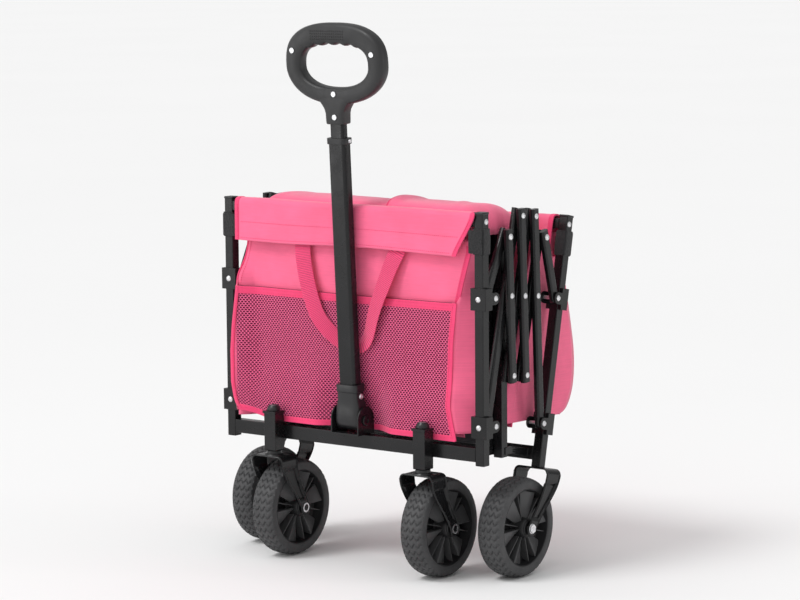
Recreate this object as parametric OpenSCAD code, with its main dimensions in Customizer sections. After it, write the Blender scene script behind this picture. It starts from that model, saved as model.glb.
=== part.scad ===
// Folding camp wagon, shown folded and standing on its four wheels.
// X runs across the wagon, the pull handle is at -Y, and the floor is z = 0.

/* [Frame] */
// Width across the outer faces of the posts
frame_w = 540; // [520:1:560]
// Side of the square post and rail tube
tube = 17; // [16:1:18]
// Height of the tops of the front posts
post_top = 609; // [600:1:620]
// Height of the bottoms of the front posts
post_bottom = 199; // [196:1:202]
// Height of the top of the front bottom rail
rail_top = 228; // [226:1:230]

/* [Scissor] */
// Height of the lower scissor pivot
pivot_z = 262; // [260:1:264]
// Distance from the front of the posts back to the scissor pivots
pivot_back = 27; // [26:1:28]
// Distance between the lower and upper pivots on a post
pivot_gap = 209; // [207:1:211]
// Long arm from a post pivot to the first crossing
long_arm = 214; // [212:1:216]
// Arm between a crossing and an end pivot
half_arm = 132; // [130:1:134]
// Short arm above the outer crossings
short_arm = 97; // [95:1:99]
// Lean of the rearward bars when folded
lean_back = 14.2; // [13.5:0.1:15]
// Lean of the forward bars when folded
lean_front = 2.4; // [2:0.1:3]
// Width of a scissor bar
bar_w = 18; // [16:1:19]
// Thickness of a scissor bar
bar_t = 10; // [9:0.5:10]

/* [Wheels] */
// Radius of the tyres
wheel_r = 83; // [80:1:84]
// Width of the tyres
tyre_w = 45; // [40:1:46]
// Distance of the caster axes from the centre plane
caster_x = 157; // [150:1:160]
// Distance that the caster wheels trail their swivel axes
trail = 44; // [38:1:48]

/* [Handle] */
// Forward lean of the handle when the wagon is folded
handle_lean = 3.2; // [3:0.1:4]
// Width of the grip
grip_w = 204; // [190:1:215]
// Height of the grip ring
grip_h = 128; // [120:1:135]

/* [Bag] */
// Distance of the side walls from the centre plane
wall_x = 238; // [234:1:240]
// Thickness of the fabric
cloth = 3; // [2:0.5:3]
// Height of the bottom edge of the side walls
wall_bottom = 255; // [250:1:260]

/* [Hidden] */
$fn = 48;

// Clearance of a pin in its hole, and of faces that pass each other
pin_gap = 0.08;
pass_gap = 0.4;

// Frame
post_x = frame_w / 2 - tube / 2;
post_inner = frame_w / 2 - tube;
rail_h = 23;
top_rail_z = post_top - 4 - tube;
bracket_h = 36;
bracket_w = 30.4;
plate = 2.2;
ear_r = 10;
ear_x = bracket_w / 2 - plate;
ink = [0.16, 0.16, 0.17];
steel = [0.85, 0.85, 0.86];
pink = [0.95, 0.3, 0.5];
deep_pink = [0.5, 0.03, 0.22];

// Scissor: directions of the two bar families, as [y, z]
up_back = [sin(lean_back), cos(lean_back)];
down_back = [sin(lean_front), -cos(lean_front)];
f_low = [pivot_back, pivot_z];
f_up = f_low + [0, pivot_gap];
cross_1 = f_low + long_arm * up_back;
peak_1 = cross_1 + half_arm * up_back;
foot_1 = cross_1 + half_arm * down_back;
top_1 = cross_1 - short_arm * down_back;
cross_2 = peak_1 + half_arm * down_back;
foot_2 = cross_2 + half_arm * down_back;
peak_2 = cross_2 + half_arm * up_back;
cross_3 = peak_2 + half_arm * down_back;
r_low = cross_3 + long_arm * down_back;
rear_lean = lean_back - lean_front;
layer = bar_t / 2 + 0.5;
bar_end = 12;
bar_round = 4;
pin_r = 3;
head_r = 5.4;
head_t = 3;

// Casters and wheels
caster_y = -12.5;
socket_w = 24;
socket_bottom = 186;
socket_top = 254;
fork_top = 176;
fork_plate = 3.5;
fork_w = 61;
fork_d = 41;
arm_x = fork_w / 2 - fork_plate;
axle_r = 5;
rim_r = 64;
hub_r = 17;
hub_w = 50;
spokes = 6;
rear_axle_y = -27;
rear_axle_z = (wheel_r - r_low.y + rear_axle_y * sin(rear_lean)) / cos(rear_lean);
rear_post_drop = 76;

// Handle
handle_y = 1.5;
handle_z = 252;
tilt_pin_r = 5;
outer_w = 35;
outer_d = 20;
inner_w = 28;
inner_d = 15;
outer_from = 46;
outer_to = 462;
collar_to = 472;
inner_to = 500;
grip_z = 597;
grip_t = 27;
grip_bar = 28;
neck_w = 34;

// Floor bars
stub_y = 44;
stub_z = -50;
floor_bar_w = 16;
floor_bar_len = 358;
front_bar_x = 218;
rear_bar_x = 236;
lug_t = 2;
stub_w = 14;
stub_h = 12;
floor_len = 290;
floor_half_w = 205;
floor_t = 6;

// Bag
panel_half = post_inner - 10;
pocket_half = 228;
wall_top = 600;
wall_len = 366;
front_hinge_y = 58;
rear_hinge_y = -34;
bag_back = 320;

// Centres the whole model's box on the origin
home_y = -(caster_y + trail - wheel_r + bag_back) / 2;

module home() translate([0, home_y, 0]) children();

// Builds the child for the +X side and mirrors it for the other
module both_sides() {
    children();
    mirror([1, 0, 0]) children();
}

// Places a child drawn upright about the rear lower pivot
module rear_frame() {
    home() translate([0, r_low.x, r_low.y]) rotate([-rear_lean, 0, 0]) children();
}

module at(p) translate([0, p.x, p.y]) children();

module rounded_rect(w, d, r) {
    square([w - 2 * r, d], center = true);
    square([w, d - 2 * r], center = true);
    for (x = [-1, 1], y = [-1, 1])
        translate([x * (w / 2 - r), y * (d / 2 - r)]) circle(r);
}

module x_cylinder(r, x0, x1) {
    translate([x0, 0, 0]) rotate([0, 90, 0]) cylinder(r = r, h = x1 - x0);
}

// Rivet along X with a domed head at its outer end and a flat tail
module rivet(x0, x1, tail = true) {
    x_cylinder(pin_r, x0, x1);
    translate([x1, 0, 0]) rotate([0, 90, 0]) rivet_head();
    if (tail) x_cylinder(head_r - 1, x0 - 1.6, x0);
}

// Domed head with a small pit, as on a tubular rivet
module rivet_head() {
    pit_r = 1.5;
    rotate_extrude() difference() {
        intersection() {
            translate([0, -head_t]) circle(sqrt(head_r * head_r + head_t * head_t) - 0.4);
            square([head_r, head_t]);
        }
        translate([0, head_t - 1.4]) square([pit_r, 2]);
    }
}

// Steel post drawn from z0 to z1 with its front face at y = 0
module post(z0, z1) {
    color(ink) difference() {
        translate([-tube / 2, 0, z0]) cube([tube, tube, z1 - z0]);
        translate([1.5 - tube / 2, 1.5, z0 - 1]) cube([tube - 3, tube - 3, z1 - z0 - 7]);
    }
}

// Bracket block round the front of a post, with two ears for a pivot pin
module bracket(z) {
    color(ink) translate([0, 0, z]) difference() {
        union() {
            translate([-bracket_w / 2, -plate, -bracket_h / 2])
                cube([bracket_w, tube + plate, bracket_h]);
            for (s = [-1, 1]) translate([s * (ear_x + plate / 2) - plate / 2, 0, 0]) {
                translate([0, tube, -ear_r]) cube([plate, pivot_back - tube, 2 * ear_r]);
                translate([0, pivot_back, 0]) x_cylinder(ear_r, 0, plate);
            }
        }
        translate([-tube / 2 - 0.02, -0.02, -bracket_h])
            cube([tube + 0.04, tube + 0.04, 2 * bracket_h]);
        translate([0, pivot_back, 0]) x_cylinder(pin_r, -bracket_w, bracket_w);
    }
}

module brackets() {
    both_sides() translate([post_x, 0, 0]) {
        bracket(0);
        bracket(pivot_gap);
    }
}

// Rivets of one end frame: pivot pins, bracket face rivets and post screws
module frame_rivets() {
    color(steel) both_sides() translate([post_x, 0, 0]) {
        for (z = [0, pivot_gap]) {
            translate([0, pivot_back, z]) rivet(-bracket_w / 2, bracket_w / 2);
            translate([0, -plate, z]) rotate([90, 0, 0]) rivet_head();
        }
        translate([tube / 2, tube * 0.6, post_top - pivot_z - 13])
            rotate([0, 90, 0]) rivet_head();
    }
}

// Scissor bar along z from z0 to z1, holed at each listed height; eye rounds its low end
module bar(x, z0, z1, holes, eye = false) {
    low = eye ? z0 : z0 - bar_end;
    color(ink) both_sides() translate([post_x + x, 0, 0]) difference() {
        union() {
            translate([0, 0, low]) linear_extrude(z1 + bar_end - low)
                rounded_rect(bar_t, bar_w, bar_round);
            if (eye) translate([0, 0, z0]) intersection() {
                translate([0, 0, -bar_w]) linear_extrude(bar_w + 1)
                    rounded_rect(bar_t, bar_w, bar_round);
                x_cylinder(bar_w / 2, -bar_t, bar_t);
            }
        }
        for (z = holes) translate([0, 0, z])
            x_cylinder(pin_r + pin_gap, -bar_t, bar_t);
    }
}

// Rivets that join the two bar layers at the listed points
module layer_rivets(points) {
    color(steel) both_sides() for (p = points)
        translate([post_x, p.x, p.y]) rivet(-layer - bar_t / 2, layer + bar_t / 2);
}

// Floor bar drawn upright from its pivot; dir points from the pivot to the tube
module floor_bar(dir) {
    tube_y = dir * (floor_bar_w / 2 + 7);
    color(ink) {
        difference() {
            translate([-floor_bar_w / 2, tube_y - floor_bar_w / 2, -10])
                cube([floor_bar_w, floor_bar_w, floor_bar_len + 10]);
            translate([1.5 - floor_bar_w / 2, tube_y + 1.5 - floor_bar_w / 2, -11])
                cube([floor_bar_w - 3, floor_bar_w - 3, floor_bar_len + 5]);
        }
        for (s = [-1, 1]) translate([s * (stub_w / 2 + pass_gap + lug_t / 2) - lug_t / 2, 0, 0]) {
            x_cylinder(6, 0, lug_t);
            translate([0, dir > 0 ? 0 : -14, -6]) cube([lug_t, 14, 12]);
        }
        x_cylinder(pin_r, -stub_w / 2 - pass_gap - lug_t, stub_w / 2 + pass_gap + lug_t);
    }
}

// Stub arm from the rail at y = 0 to its pivot hole
module floor_stub(reach) {
    color(ink) difference() {
        union() {
            translate([-stub_w / 2, 0, -stub_h / 2]) cube([stub_w, reach, stub_h]);
            translate([0, reach, 0]) x_cylinder(stub_h / 2, -stub_w / 2, stub_w / 2);
        }
        translate([0, reach, 0]) x_cylinder(pin_r + pin_gap, -stub_w, stub_w);
    }
}

// Tyre about the x axis, with a crowned tread
module tyre() {
    edge = 7;
    color([0.2, 0.2, 0.21]) rotate([0, 90, 0]) rotate_extrude($fn = 96) {
        translate([rim_r, -tyre_w / 2]) square([wheel_r - rim_r - edge, tyre_w]);
        translate([wheel_r - edge - 1, edge - tyre_w / 2]) square([edge + 1, tyre_w - 2 * edge]);
        for (s = [-1, 1]) translate([wheel_r - edge, s * (tyre_w / 2 - edge)]) circle(edge);
    }
}

// Spoked plastic rim about the x axis, bored for its axle
module rim() {
    rim_w = tyre_w - 7;
    web = 20;
    membrane = 3;
    color([0.1, 0.1, 0.11]) rotate([0, 90, 0]) difference() {
        union() {
            rotate_extrude($fn = 96) {
                translate([rim_r - 8, -rim_w / 2]) square([8 - 0.02, rim_w]);
                translate([hub_r - 4, -web / 2]) square([rim_r - hub_r, web]);
            }
            translate([0, 0, -hub_w / 2]) cylinder(r = hub_r, h = hub_w);
        }
        translate([0, 0, -hub_w]) cylinder(r = axle_r + pin_gap, h = 2 * hub_w);
        for (i = [0 : spokes - 1], z = [membrane / 2, -web - membrane / 2])
            rotate([0, 0, i * 360 / spokes]) translate([0, 0, z])
                linear_extrude(web) spoke_pocket();
    }
}

// Wedge-shaped pocket between two spokes that widen towards the tyre
module spoke_pocket() {
    outer = rim_r - 9;
    inner = hub_r + 2;
    half = 90 / spokes + 3;
    intersection() {
        difference() {
            circle(outer);
            circle(inner);
        }
        polygon([[0, 0], [rim_r, -rim_r * tan(half)], [rim_r, rim_r * tan(half)]]);
    }
}

// One fork arm in the y-z plane, from the plate down to the axle
module fork_arm(y_axle, z_axle, depth) {
    eye = 15;
    top = depth / 2;
    long = sqrt(y_axle * y_axle + z_axle * z_axle);
    across = [-z_axle / long, y_axle / long] * eye;
    axle = [y_axle, z_axle];
    rotate([90, 0, 90]) linear_extrude(fork_plate) difference() {
        union() {
            polygon([[-top, 0], [top, 0], [top, -12], axle + across, axle - across, [-top, -12]]);
            translate(axle) circle(eye);
        }
        translate(axle) circle(axle_r);
    }
}

// Fork: top plate and two arms about the vertical axis at the origin
module fork(y_axle, z_axle, depth) {
    color(ink) {
        translate([0, 0, -fork_plate]) linear_extrude(fork_plate)
            rounded_rect(fork_w, depth, 5);
        for (x = [-arm_x - fork_plate, arm_x]) translate([x, 0, -fork_plate + 0.5])
            fork_arm(y_axle, z_axle + fork_plate - 0.5, depth);
    }
}

module axle_bolt(reach) {
    color(steel) {
        x_cylinder(axle_r, -reach, reach);
        for (s = [-1, 1]) translate([s * (reach + 2.5), 0, 0]) rotate([0, 90, 0])
            cylinder(r = 8, h = 5, center = true, $fn = 6);
    }
}

// Caster fork with its kingpin, nut and wheel axle
module caster_fork() {
    translate([0, 0, fork_top]) fork(trail, wheel_r - fork_top, fork_d);
    color(ink) translate([0, 0, fork_top - fork_plate]) cylinder(r = 6, h = socket_top - fork_top + 12);
    color(ink) translate([0, 0, fork_top]) cylinder(r = 11, h = socket_bottom - fork_top - 0.4);
    color(steel) translate([0, 0, socket_top + 0.4]) cylinder(r = 9, h = 7, $fn = 6);
    translate([0, trail, wheel_r]) axle_bolt(fork_w / 2);
}

module at_caster(s) home() translate([s * caster_x, caster_y, 0]) children();

module caster_wheel_place(s) at_caster(s) translate([0, trail, wheel_r]) children();

module rear_wheel_place(s) rear_frame()
    translate([s * post_x, rear_axle_y, rear_axle_z]) children();

// Handle parts are drawn along z from the tilt pivot
module handle() home() translate([0, handle_y, handle_z]) rotate([handle_lean, 0, 0]) children();

// Grip outline: a rounded ring with scallops for the fingers and a neck below
module grip_outline() {
    hole_w = grip_w - 2 * grip_bar - 18;
    hole_h = grip_h - 2 * grip_bar;
    difference() {
        union() {
            rounded_rect(grip_w, grip_h * 0.8, 50);
            rounded_rect(grip_w * 0.92, grip_h, 55);
            translate([-neck_w / 2, -grip_h / 2 - 38]) square([neck_w, 60]);
            polygon([
                [-neck_w / 2 - 26, -grip_h / 2 + 6],
                [neck_w / 2 + 26, -grip_h / 2 + 6],
                [neck_w / 2, -grip_h / 2 - 16],
                [-neck_w / 2, -grip_h / 2 - 16]
            ]);
        }
        translate([0, -2]) difference() {
            rounded_rect(hole_w, hole_h, 34);
            for (i = [-1.5 : 1 : 1.5]) translate([i * hole_w / 5, hole_h / 2 + 6]) circle(10);
        }
    }
}

// --- Front frame -----------------------------------------------------------

module front_post(s) home() translate([s * post_x, 0, 0]) post(post_bottom, post_top);
module front_left_post() front_post(-1);
module front_right_post() front_post(1);

module front_bottom_rail() {
    color(ink) home() translate([-post_inner, 0, rail_top - rail_h])
        cube([2 * post_inner, tube, rail_h]);
    home() both_sides() translate([front_bar_x, tube, pivot_z + stub_z])
        floor_stub(pivot_back + stub_y - tube);
}

module front_top_rail() color(ink) home()
    translate([-post_inner, 0, top_rail_z]) cube([2 * post_inner, tube, tube]);

module front_brackets() home() translate([0, 0, pivot_z]) brackets();

module front_rivets() home() translate([0, 0, pivot_z]) frame_rivets();

module handle_bracket() {
    half = 29;
    front = -19;
    depth = 43;
    rise = 24;
    color(ink) home() difference() {
        union() {
            translate([-half, front, rail_top]) cube([2 * half, depth, 2.5]);
            for (x = [-half, half - 2.5]) {
                translate([x, front, rail_top]) cube([2.5, depth, rise - 2]);
                translate([x, front + depth / 2, handle_z + 2]) x_cylinder(depth / 2, 0, 2.5);
            }
        }
        translate([0, handle_y, handle_z]) x_cylinder(tilt_pin_r + pin_gap, -2 * half, 2 * half);
    }
}

module caster_sockets() {
    color(ink) home() both_sides() translate([caster_x, caster_y, 0]) difference() {
        union() {
            translate([-socket_w / 2, -socket_w / 2 + 0.5, socket_bottom])
                cube([socket_w, socket_w, socket_top - socket_bottom]);
            translate([-14, -14, socket_top - 4]) cube([28, 26.5, 4]);
        }
        translate([0, 0, socket_bottom - 1]) cylinder(r = 6 + pin_gap, h = 90);
    }
}

module left_caster_fork() at_caster(-1) caster_fork();
module right_caster_fork() at_caster(1) caster_fork();
module left_caster_rim() caster_wheel_place(-1) rim();
module right_caster_rim() caster_wheel_place(1) rim();
module left_caster_tyre() caster_wheel_place(-1) tyre();
module right_caster_tyre() caster_wheel_place(1) tyre();

// --- Handle ------------------------------------------------------------------

module handle_knuckle() {
    belly = 17;
    half = 25.5;
    color(ink) handle() difference() {
        union() {
            x_cylinder(belly, -half, half);
            translate([-half, -belly + 2, 0]) cube([2 * half, 2 * belly - 4, 22]);
            translate([-outer_w / 2 - 3, -outer_d / 2 - 3, 10])
                cube([outer_w + 6, outer_d + 6, 50]);
        }
        translate([0, 0, outer_from]) linear_extrude(30)
            rounded_rect(outer_w + 0.04, outer_d + 0.04, 6);
    }
    color(steel) handle() {
        x_cylinder(tilt_pin_r, -31, 31);
        x_cylinder(8, 29.2, 32.5);
        x_cylinder(8, -32.5, -29.2);
    }
}

module handle_outer_tube() color(ink) handle() difference() {
    translate([0, 0, outer_from]) linear_extrude(outer_to - outer_from)
        rounded_rect(outer_w, outer_d, 6);
    translate([0, 0, outer_from - 1]) linear_extrude(outer_to)
        rounded_rect(inner_w + 0.3, inner_d + 0.3, 5);
}

module handle_collar() color([0.1, 0.1, 0.11]) handle() difference() {
    translate([0, 0, outer_to]) linear_extrude(collar_to - outer_to)
        rounded_rect(outer_w + 5, outer_d + 5, 8);
    translate([0, 0, outer_to - 1]) linear_extrude(20)
        rounded_rect(inner_w + 0.4, inner_d + 0.4, 5);
    translate([inner_w / 2 - 1, 0, outer_to + 5]) rotate([0, 90, 0]) cylinder(r = 3.1, h = 12);
}

module handle_button() color(steel) handle()
    translate([outer_w / 2 - 0.8, 0, outer_to + 5]) rotate([0, 90, 0]) cylinder(r = 3, h = 6);

module handle_inner_tube() color(ink) handle() difference() {
    translate([0, 0, outer_from + 60]) linear_extrude(inner_to - outer_from - 60 + 20)
        rounded_rect(inner_w, inner_d, 5);
    translate([0, 0, outer_from + 50]) linear_extrude(inner_to - outer_from - 50 + 10)
        rounded_rect(inner_w - 3, inner_d - 3, 3.6);
}

module handle_grip() color([0.2, 0.2, 0.21]) handle() translate([0, 0, grip_z]) difference() {
    rotate([90, 0, 0]) linear_extrude(grip_t, center = true) grip_outline();
    translate([0, 0, -grip_h / 2 - 39]) linear_extrude(inner_to + 20.02 - (grip_z - grip_h / 2 - 39))
        rounded_rect(inner_w + 0.04, inner_d + 0.04, 5);
}

module grip_screws() color(steel) handle() translate([0, -grip_t / 2, grip_z])
    for (p = [[-80, 18], [84, 14], [3, -52], [3, -90]])
        translate([p.x, 0, p.y]) rotate([90, 0, 0]) cylinder(r = 4.5, h = 1.6);

// --- Rear frame ----------------------------------------------------------------

// Mirrors a front frame part so that its pivots sit at the rear frame's origin
module rear_face() mirror([0, 1, 0]) translate([0, -pivot_back, 0]) children();

module rear_post(s) rear_frame() translate([s * post_x, 0, 0]) rear_face()
    post(-rear_post_drop, post_top - pivot_z);
module rear_left_post() rear_post(-1);
module rear_right_post() rear_post(1);

module rear_bottom_rail() rear_frame() rear_face() {
    color(ink) translate([-post_inner, 0, stub_z - rail_h / 2])
        cube([2 * post_inner, tube, rail_h]);
    both_sides() translate([rear_bar_x, tube, stub_z])
        floor_stub(pivot_back + stub_y - tube);
}

module rear_top_rail() color(ink) rear_frame() rear_face()
    translate([-post_inner, 0, top_rail_z - pivot_z]) cube([2 * post_inner, tube, tube]);

module rear_brackets() rear_frame() rear_face() brackets();
module rear_rivets() rear_frame() rear_face() frame_rivets();

module rear_forks() rear_frame() both_sides()
    translate([post_x, pivot_back - tube / 2, -rear_post_drop])
    fork(rear_axle_y - pivot_back + tube / 2, rear_axle_z + rear_post_drop, fork_d);

module rear_axles() rear_frame() both_sides()
    translate([post_x, rear_axle_y, rear_axle_z]) axle_bolt(fork_w / 2);

module left_rear_rim() rear_wheel_place(-1) rim();
module right_rear_rim() rear_wheel_place(1) rim();
module left_rear_tyre() rear_wheel_place(-1) tyre();
module right_rear_tyre() rear_wheel_place(1) tyre();

// --- Scissor ---------------------------------------------------------------------

module front_long_bars() home() at(f_low) rotate([-lean_back, 0, 0])
    bar(-layer, 0, long_arm + half_arm, [0, long_arm, long_arm + half_arm], true);

module front_cross_bars() home() at(cross_1) rotate([lean_front, 0, 0])
    bar(layer, -half_arm, short_arm, [-half_arm, 0]);

module middle_cross_bars() home() at(cross_2) rotate([lean_front, 0, 0])
    bar(layer, -half_arm, half_arm, [-half_arm, 0, half_arm]);

module middle_long_bars() home() at(cross_2) rotate([-lean_back, 0, 0])
    bar(-layer, -half_arm, half_arm, [-half_arm, 0, half_arm]);

module rear_long_bars() home() at(cross_3) rotate([lean_front, 0, 0])
    bar(layer, -long_arm, half_arm, [-long_arm, 0, half_arm], true);

module rear_cross_bars() home() at(cross_3) rotate([-lean_back, 0, 0])
    bar(-layer, -half_arm, short_arm, [-half_arm, 0]);

link_vec = top_1 - f_up;
link_len = norm(link_vec);
link_lean = atan2(link_vec.x, link_vec.y);

module front_short_links() home() at(f_up) rotate([-link_lean, 0, 0])
    bar(-layer, 0, link_len, [0], true);

module rear_short_links() rear_frame() translate([0, 0, pivot_gap]) rotate([link_lean, 0, 0])
    bar(layer, 0, link_len, [0], true);

module front_long_rivets() home() layer_rivets([cross_1, peak_1]);
module front_cross_rivets() home() layer_rivets([foot_1]);
module middle_cross_rivets() home() layer_rivets([cross_2, foot_2]);
module middle_long_rivets() home() layer_rivets([peak_2]);
module rear_long_rivets() home() layer_rivets([cross_3]);

// --- Floor ---------------------------------------------------------------------

module front_floor_bars() home() both_sides()
    translate([front_bar_x, pivot_back + stub_y, pivot_z + stub_z]) floor_bar(1);

// Places a child drawn upright at the rear floor pivot
module rear_floor_pivot() rear_frame() translate([0, -stub_y, stub_z])
    rotate([rear_lean, 0, 0]) children();

module rear_floor_bars() rear_floor_pivot() both_sides()
    translate([rear_bar_x, 0, 0]) floor_bar(-1);

module floor_pad(y) color([0.15, 0.15, 0.16])
    translate([-floor_half_w, y, 0]) cube([2 * floor_half_w, floor_t, floor_len]);

module front_floor() home() translate([0, pivot_back + stub_y, pivot_z + stub_z]) floor_pad(4);
module rear_floor() rear_floor_pivot() floor_pad(-4 - floor_t);

// --- Bag -----------------------------------------------------------------------

module along_x(half) rotate([90, 0, 90]) linear_extrude(2 * half, center = true) children();

// Hem that wraps the top rail, with a flap down its outer face
module hem() {
    drop = 68;
    polygon([
        [-3.6, post_top - drop], [-3.6, post_top - 1], [-1.5, post_top + 2],
        [tube + 2, post_top + 2], [tube + 5, post_top - 1], [tube + 5, top_rail_z - 30],
        [tube + 1.5, top_rail_z - 30], [tube + 1.5, post_top - 2.5],
        [-1, post_top - 2.5], [-1, post_top - drop]
    ]);
}

module front_panel() color(pink) home() {
    along_x(panel_half) {
        hem();
        polygon([
            [tube + 1.5, top_rail_z - 28], [tube + 5, top_rail_z - 28],
            [tube + 5, 470], [34, wall_bottom - 11], [30.5, wall_bottom - 11], [tube + 1.5, 470]
        ]);
    }
    both_sides() translate([wall_x - cloth, tube + 3, wall_bottom])
        cube([cloth, front_hinge_y - tube - 4, wall_top - wall_bottom]);
}

// Storage pocket on the outside of the front panel, clear of the handle
module front_pocket() color(deep_pink) home() along_x(pocket_half)
    polygon([
        [8, 466], [8, 440], [11, 380], [20.5, 310], [26, 284], [27.5, 246],
        [30, 245], [29, 262], [17.8, 468]
    ]);

// Hook-and-loop tab around each post top
module post_tab() translate([post_x, tube / 2, 0]) difference() {
    translate([-16, -12.5, 545 - pivot_z]) cube([29, 26, 38]);
    translate([-tube / 2 - 0.1, -tube / 2 - 0.1, 0]) cube([tube + 0.2, tube + 0.2, post_top]);
}

// Carry straps that hang in front of the panel on either side of the handle
module front_straps() home() {
    color(ink) translate([0, 0, pivot_z]) both_sides() post_tab();
    color(pink) for (s = [-1, 1]) translate([0, 5.6, 0]) rotate([90, 0, 0])
        linear_extrude(2) polygon([
            [s * 108, 538], [s * 82, 538], [s * 24, 372], [s * 46, 372]
        ]);
}

// Sheet of the bag's back, hanging behind the leaning rear frame
back_outer = [[266, 548], [302, 430], [bag_back, 335], [317, 285], [300, 254], [276, 244]];

module rear_panel() {
    color(pink) home() {
        along_x(wall_x) polygon(concat(
            back_outer,
            [for (i = [len(back_outer) - 1 : -1 : 0]) back_outer[i] - [cloth, i < 5 ? 0 : -cloth]]
        ));
        both_sides() translate([wall_x - cloth / 2, 0, 0]) along_x(cloth / 2) polygon(concat(
            [for (p = back_outer) p - [1, 0]],
            [[134, wall_bottom], [196, 556], [228, 556]]
        ));
    }
    color(pink) rear_frame() rear_face() translate([0, 0, -pivot_z]) along_x(panel_half) hem();
}

module rear_straps() color(ink) rear_frame() rear_face() both_sides() post_tab();

module front_wall(s) color(pink) home() translate([0, s > 0 ? front_hinge_y : front_hinge_y + 6, 0])
    mirror([s > 0 ? 0 : 1, 0, 0]) translate([wall_x - 1 - wall_len, 0, wall_bottom])
    cube([wall_len, cloth, wall_top - wall_bottom]);

module rear_wall(s) color(pink) rear_frame()
    translate([0, (s > 0 ? rear_hinge_y : rear_hinge_y - 7) - cloth, 0])
    mirror([s > 0 ? 0 : 1, 0, 0]) translate([wall_x - 1 - wall_len, 0, wall_bottom + 6 - r_low.y])
    cube([wall_len, cloth, wall_top - wall_bottom]);

module right_front_wall() front_wall(1);
module left_front_wall() front_wall(-1);
module right_rear_wall() rear_wall(1);
module left_rear_wall() rear_wall(-1);

front_left_post();
front_right_post();
front_bottom_rail();
front_top_rail();
front_brackets();
front_rivets();
handle_bracket();
caster_sockets();
left_caster_fork();
right_caster_fork();
left_caster_rim();
right_caster_rim();
left_caster_tyre();
right_caster_tyre();
handle_knuckle();
handle_outer_tube();
handle_collar();
handle_button();
handle_inner_tube();
handle_grip();
grip_screws();
rear_left_post();
rear_right_post();
rear_bottom_rail();
rear_top_rail();
rear_brackets();
rear_rivets();
rear_forks();
rear_axles();
left_rear_rim();
right_rear_rim();
left_rear_tyre();
right_rear_tyre();
front_long_bars();
front_cross_bars();
middle_cross_bars();
middle_long_bars();
rear_long_bars();
rear_cross_bars();
front_short_links();
rear_short_links();
front_long_rivets();
front_cross_rivets();
middle_cross_rivets();
middle_long_rivets();
rear_long_rivets();
front_floor_bars();
rear_floor_bars();
front_floor();
rear_floor();
front_panel();
front_pocket();
front_straps();
rear_panel();
rear_straps();
right_front_wall();
left_front_wall();
right_rear_wall();
left_rear_wall();
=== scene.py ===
import math

import bmesh
import bpy
import numpy as np
from mathutils import Matrix, Vector


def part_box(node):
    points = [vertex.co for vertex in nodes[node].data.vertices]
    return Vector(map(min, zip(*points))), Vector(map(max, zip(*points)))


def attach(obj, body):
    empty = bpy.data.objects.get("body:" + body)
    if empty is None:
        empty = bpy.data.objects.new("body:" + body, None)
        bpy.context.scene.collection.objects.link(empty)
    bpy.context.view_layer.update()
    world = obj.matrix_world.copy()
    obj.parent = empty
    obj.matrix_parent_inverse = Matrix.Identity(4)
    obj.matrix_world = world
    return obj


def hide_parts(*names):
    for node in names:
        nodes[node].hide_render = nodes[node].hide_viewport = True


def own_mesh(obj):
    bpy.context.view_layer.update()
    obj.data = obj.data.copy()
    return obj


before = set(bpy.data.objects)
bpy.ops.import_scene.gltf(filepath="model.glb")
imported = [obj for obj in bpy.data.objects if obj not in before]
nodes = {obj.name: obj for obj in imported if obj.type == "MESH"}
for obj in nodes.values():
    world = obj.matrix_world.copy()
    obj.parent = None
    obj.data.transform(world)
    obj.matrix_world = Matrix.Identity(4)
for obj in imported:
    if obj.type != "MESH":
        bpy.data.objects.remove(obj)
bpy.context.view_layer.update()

MM = 0.001
TAU = 2 * math.pi

# Layout in millimetres. "Front" coordinates put y = 0 on the posts' front faces.
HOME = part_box("front_top_rail")[0].y / MM
POST_X = 261.5
TUBE = 17.0
POST_TOP = 609.0
PIVOT_BACK = 27.0
PIVOT_Z = 262.0
REAR_LOW = (164.27, 247.81)
REAR_LEAN = math.radians(11.8)
WHEEL_R = 83.0
RIM_R = 64.0
TYRE_W = 45.0
SETTLE_FRAMES = 18
SIDES = (("left", -1), ("right", 1))
HANDLE_Y = 1.5
HANDLE_Z = 252.0
HANDLE_LEAN = math.radians(3.2)


# --- Placing -----------------------------------------------------------------

def front(x, y, z):
    """Front coordinates in mm to the row frame in metres."""
    return Vector((x, y + HOME, z)) * MM


def rear(x, y, z):
    """Rear frame coordinates, upright about its lower pivot, to the row frame."""
    c, s = math.cos(REAR_LEAN), math.sin(REAR_LEAN)
    return front(x, REAR_LOW[0] + y * c + z * s, REAR_LOW[1] - y * s + z * c)


def rear_face(x, y, z):
    """Like front(), for parts drawn on the rear frame's outer face."""
    return rear(x, PIVOT_BACK - y, z - PIVOT_Z)


def handle(x, y, z):
    """Handle coordinates, z along the handle from its tilt pin, to the row frame."""
    c, s = math.cos(HANDLE_LEAN), math.sin(HANDLE_LEAN)
    return front(x, HANDLE_Y + y * c - z * s, HANDLE_Z + y * s + z * c)


def step(x, y, z):
    """A move in millimetres, as a vector in metres."""
    return Vector((x, y, z)) * MM


def lerp(a, b, t):
    return a + (b - a) * t


def clamp(t):
    return min(max(t, 0.0), 1.0)


def smooth(t):
    t = clamp(t)
    return t * t * (3 - 2 * t)


def curve_through(points, count):
    """A smooth curve near the given points (Chaikin's corner cutting), evenly spaced."""
    p = np.array(points, float)
    for _ in range(3):
        cut = [q for a, b in zip(p, p[1:]) for q in (a * 0.75 + b * 0.25, a * 0.25 + b * 0.75)]
        p = np.array([p[0], *cut, p[-1]])
    d = np.r_[0, np.cumsum(np.linalg.norm(np.diff(p, axis=0), axis=1))]
    at = np.linspace(0, d[-1], count)
    return np.stack([np.interp(at, d, p[:, k]) for k in range(p.shape[1])], 1)


# --- Materials -----------------------------------------------------------------

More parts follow.
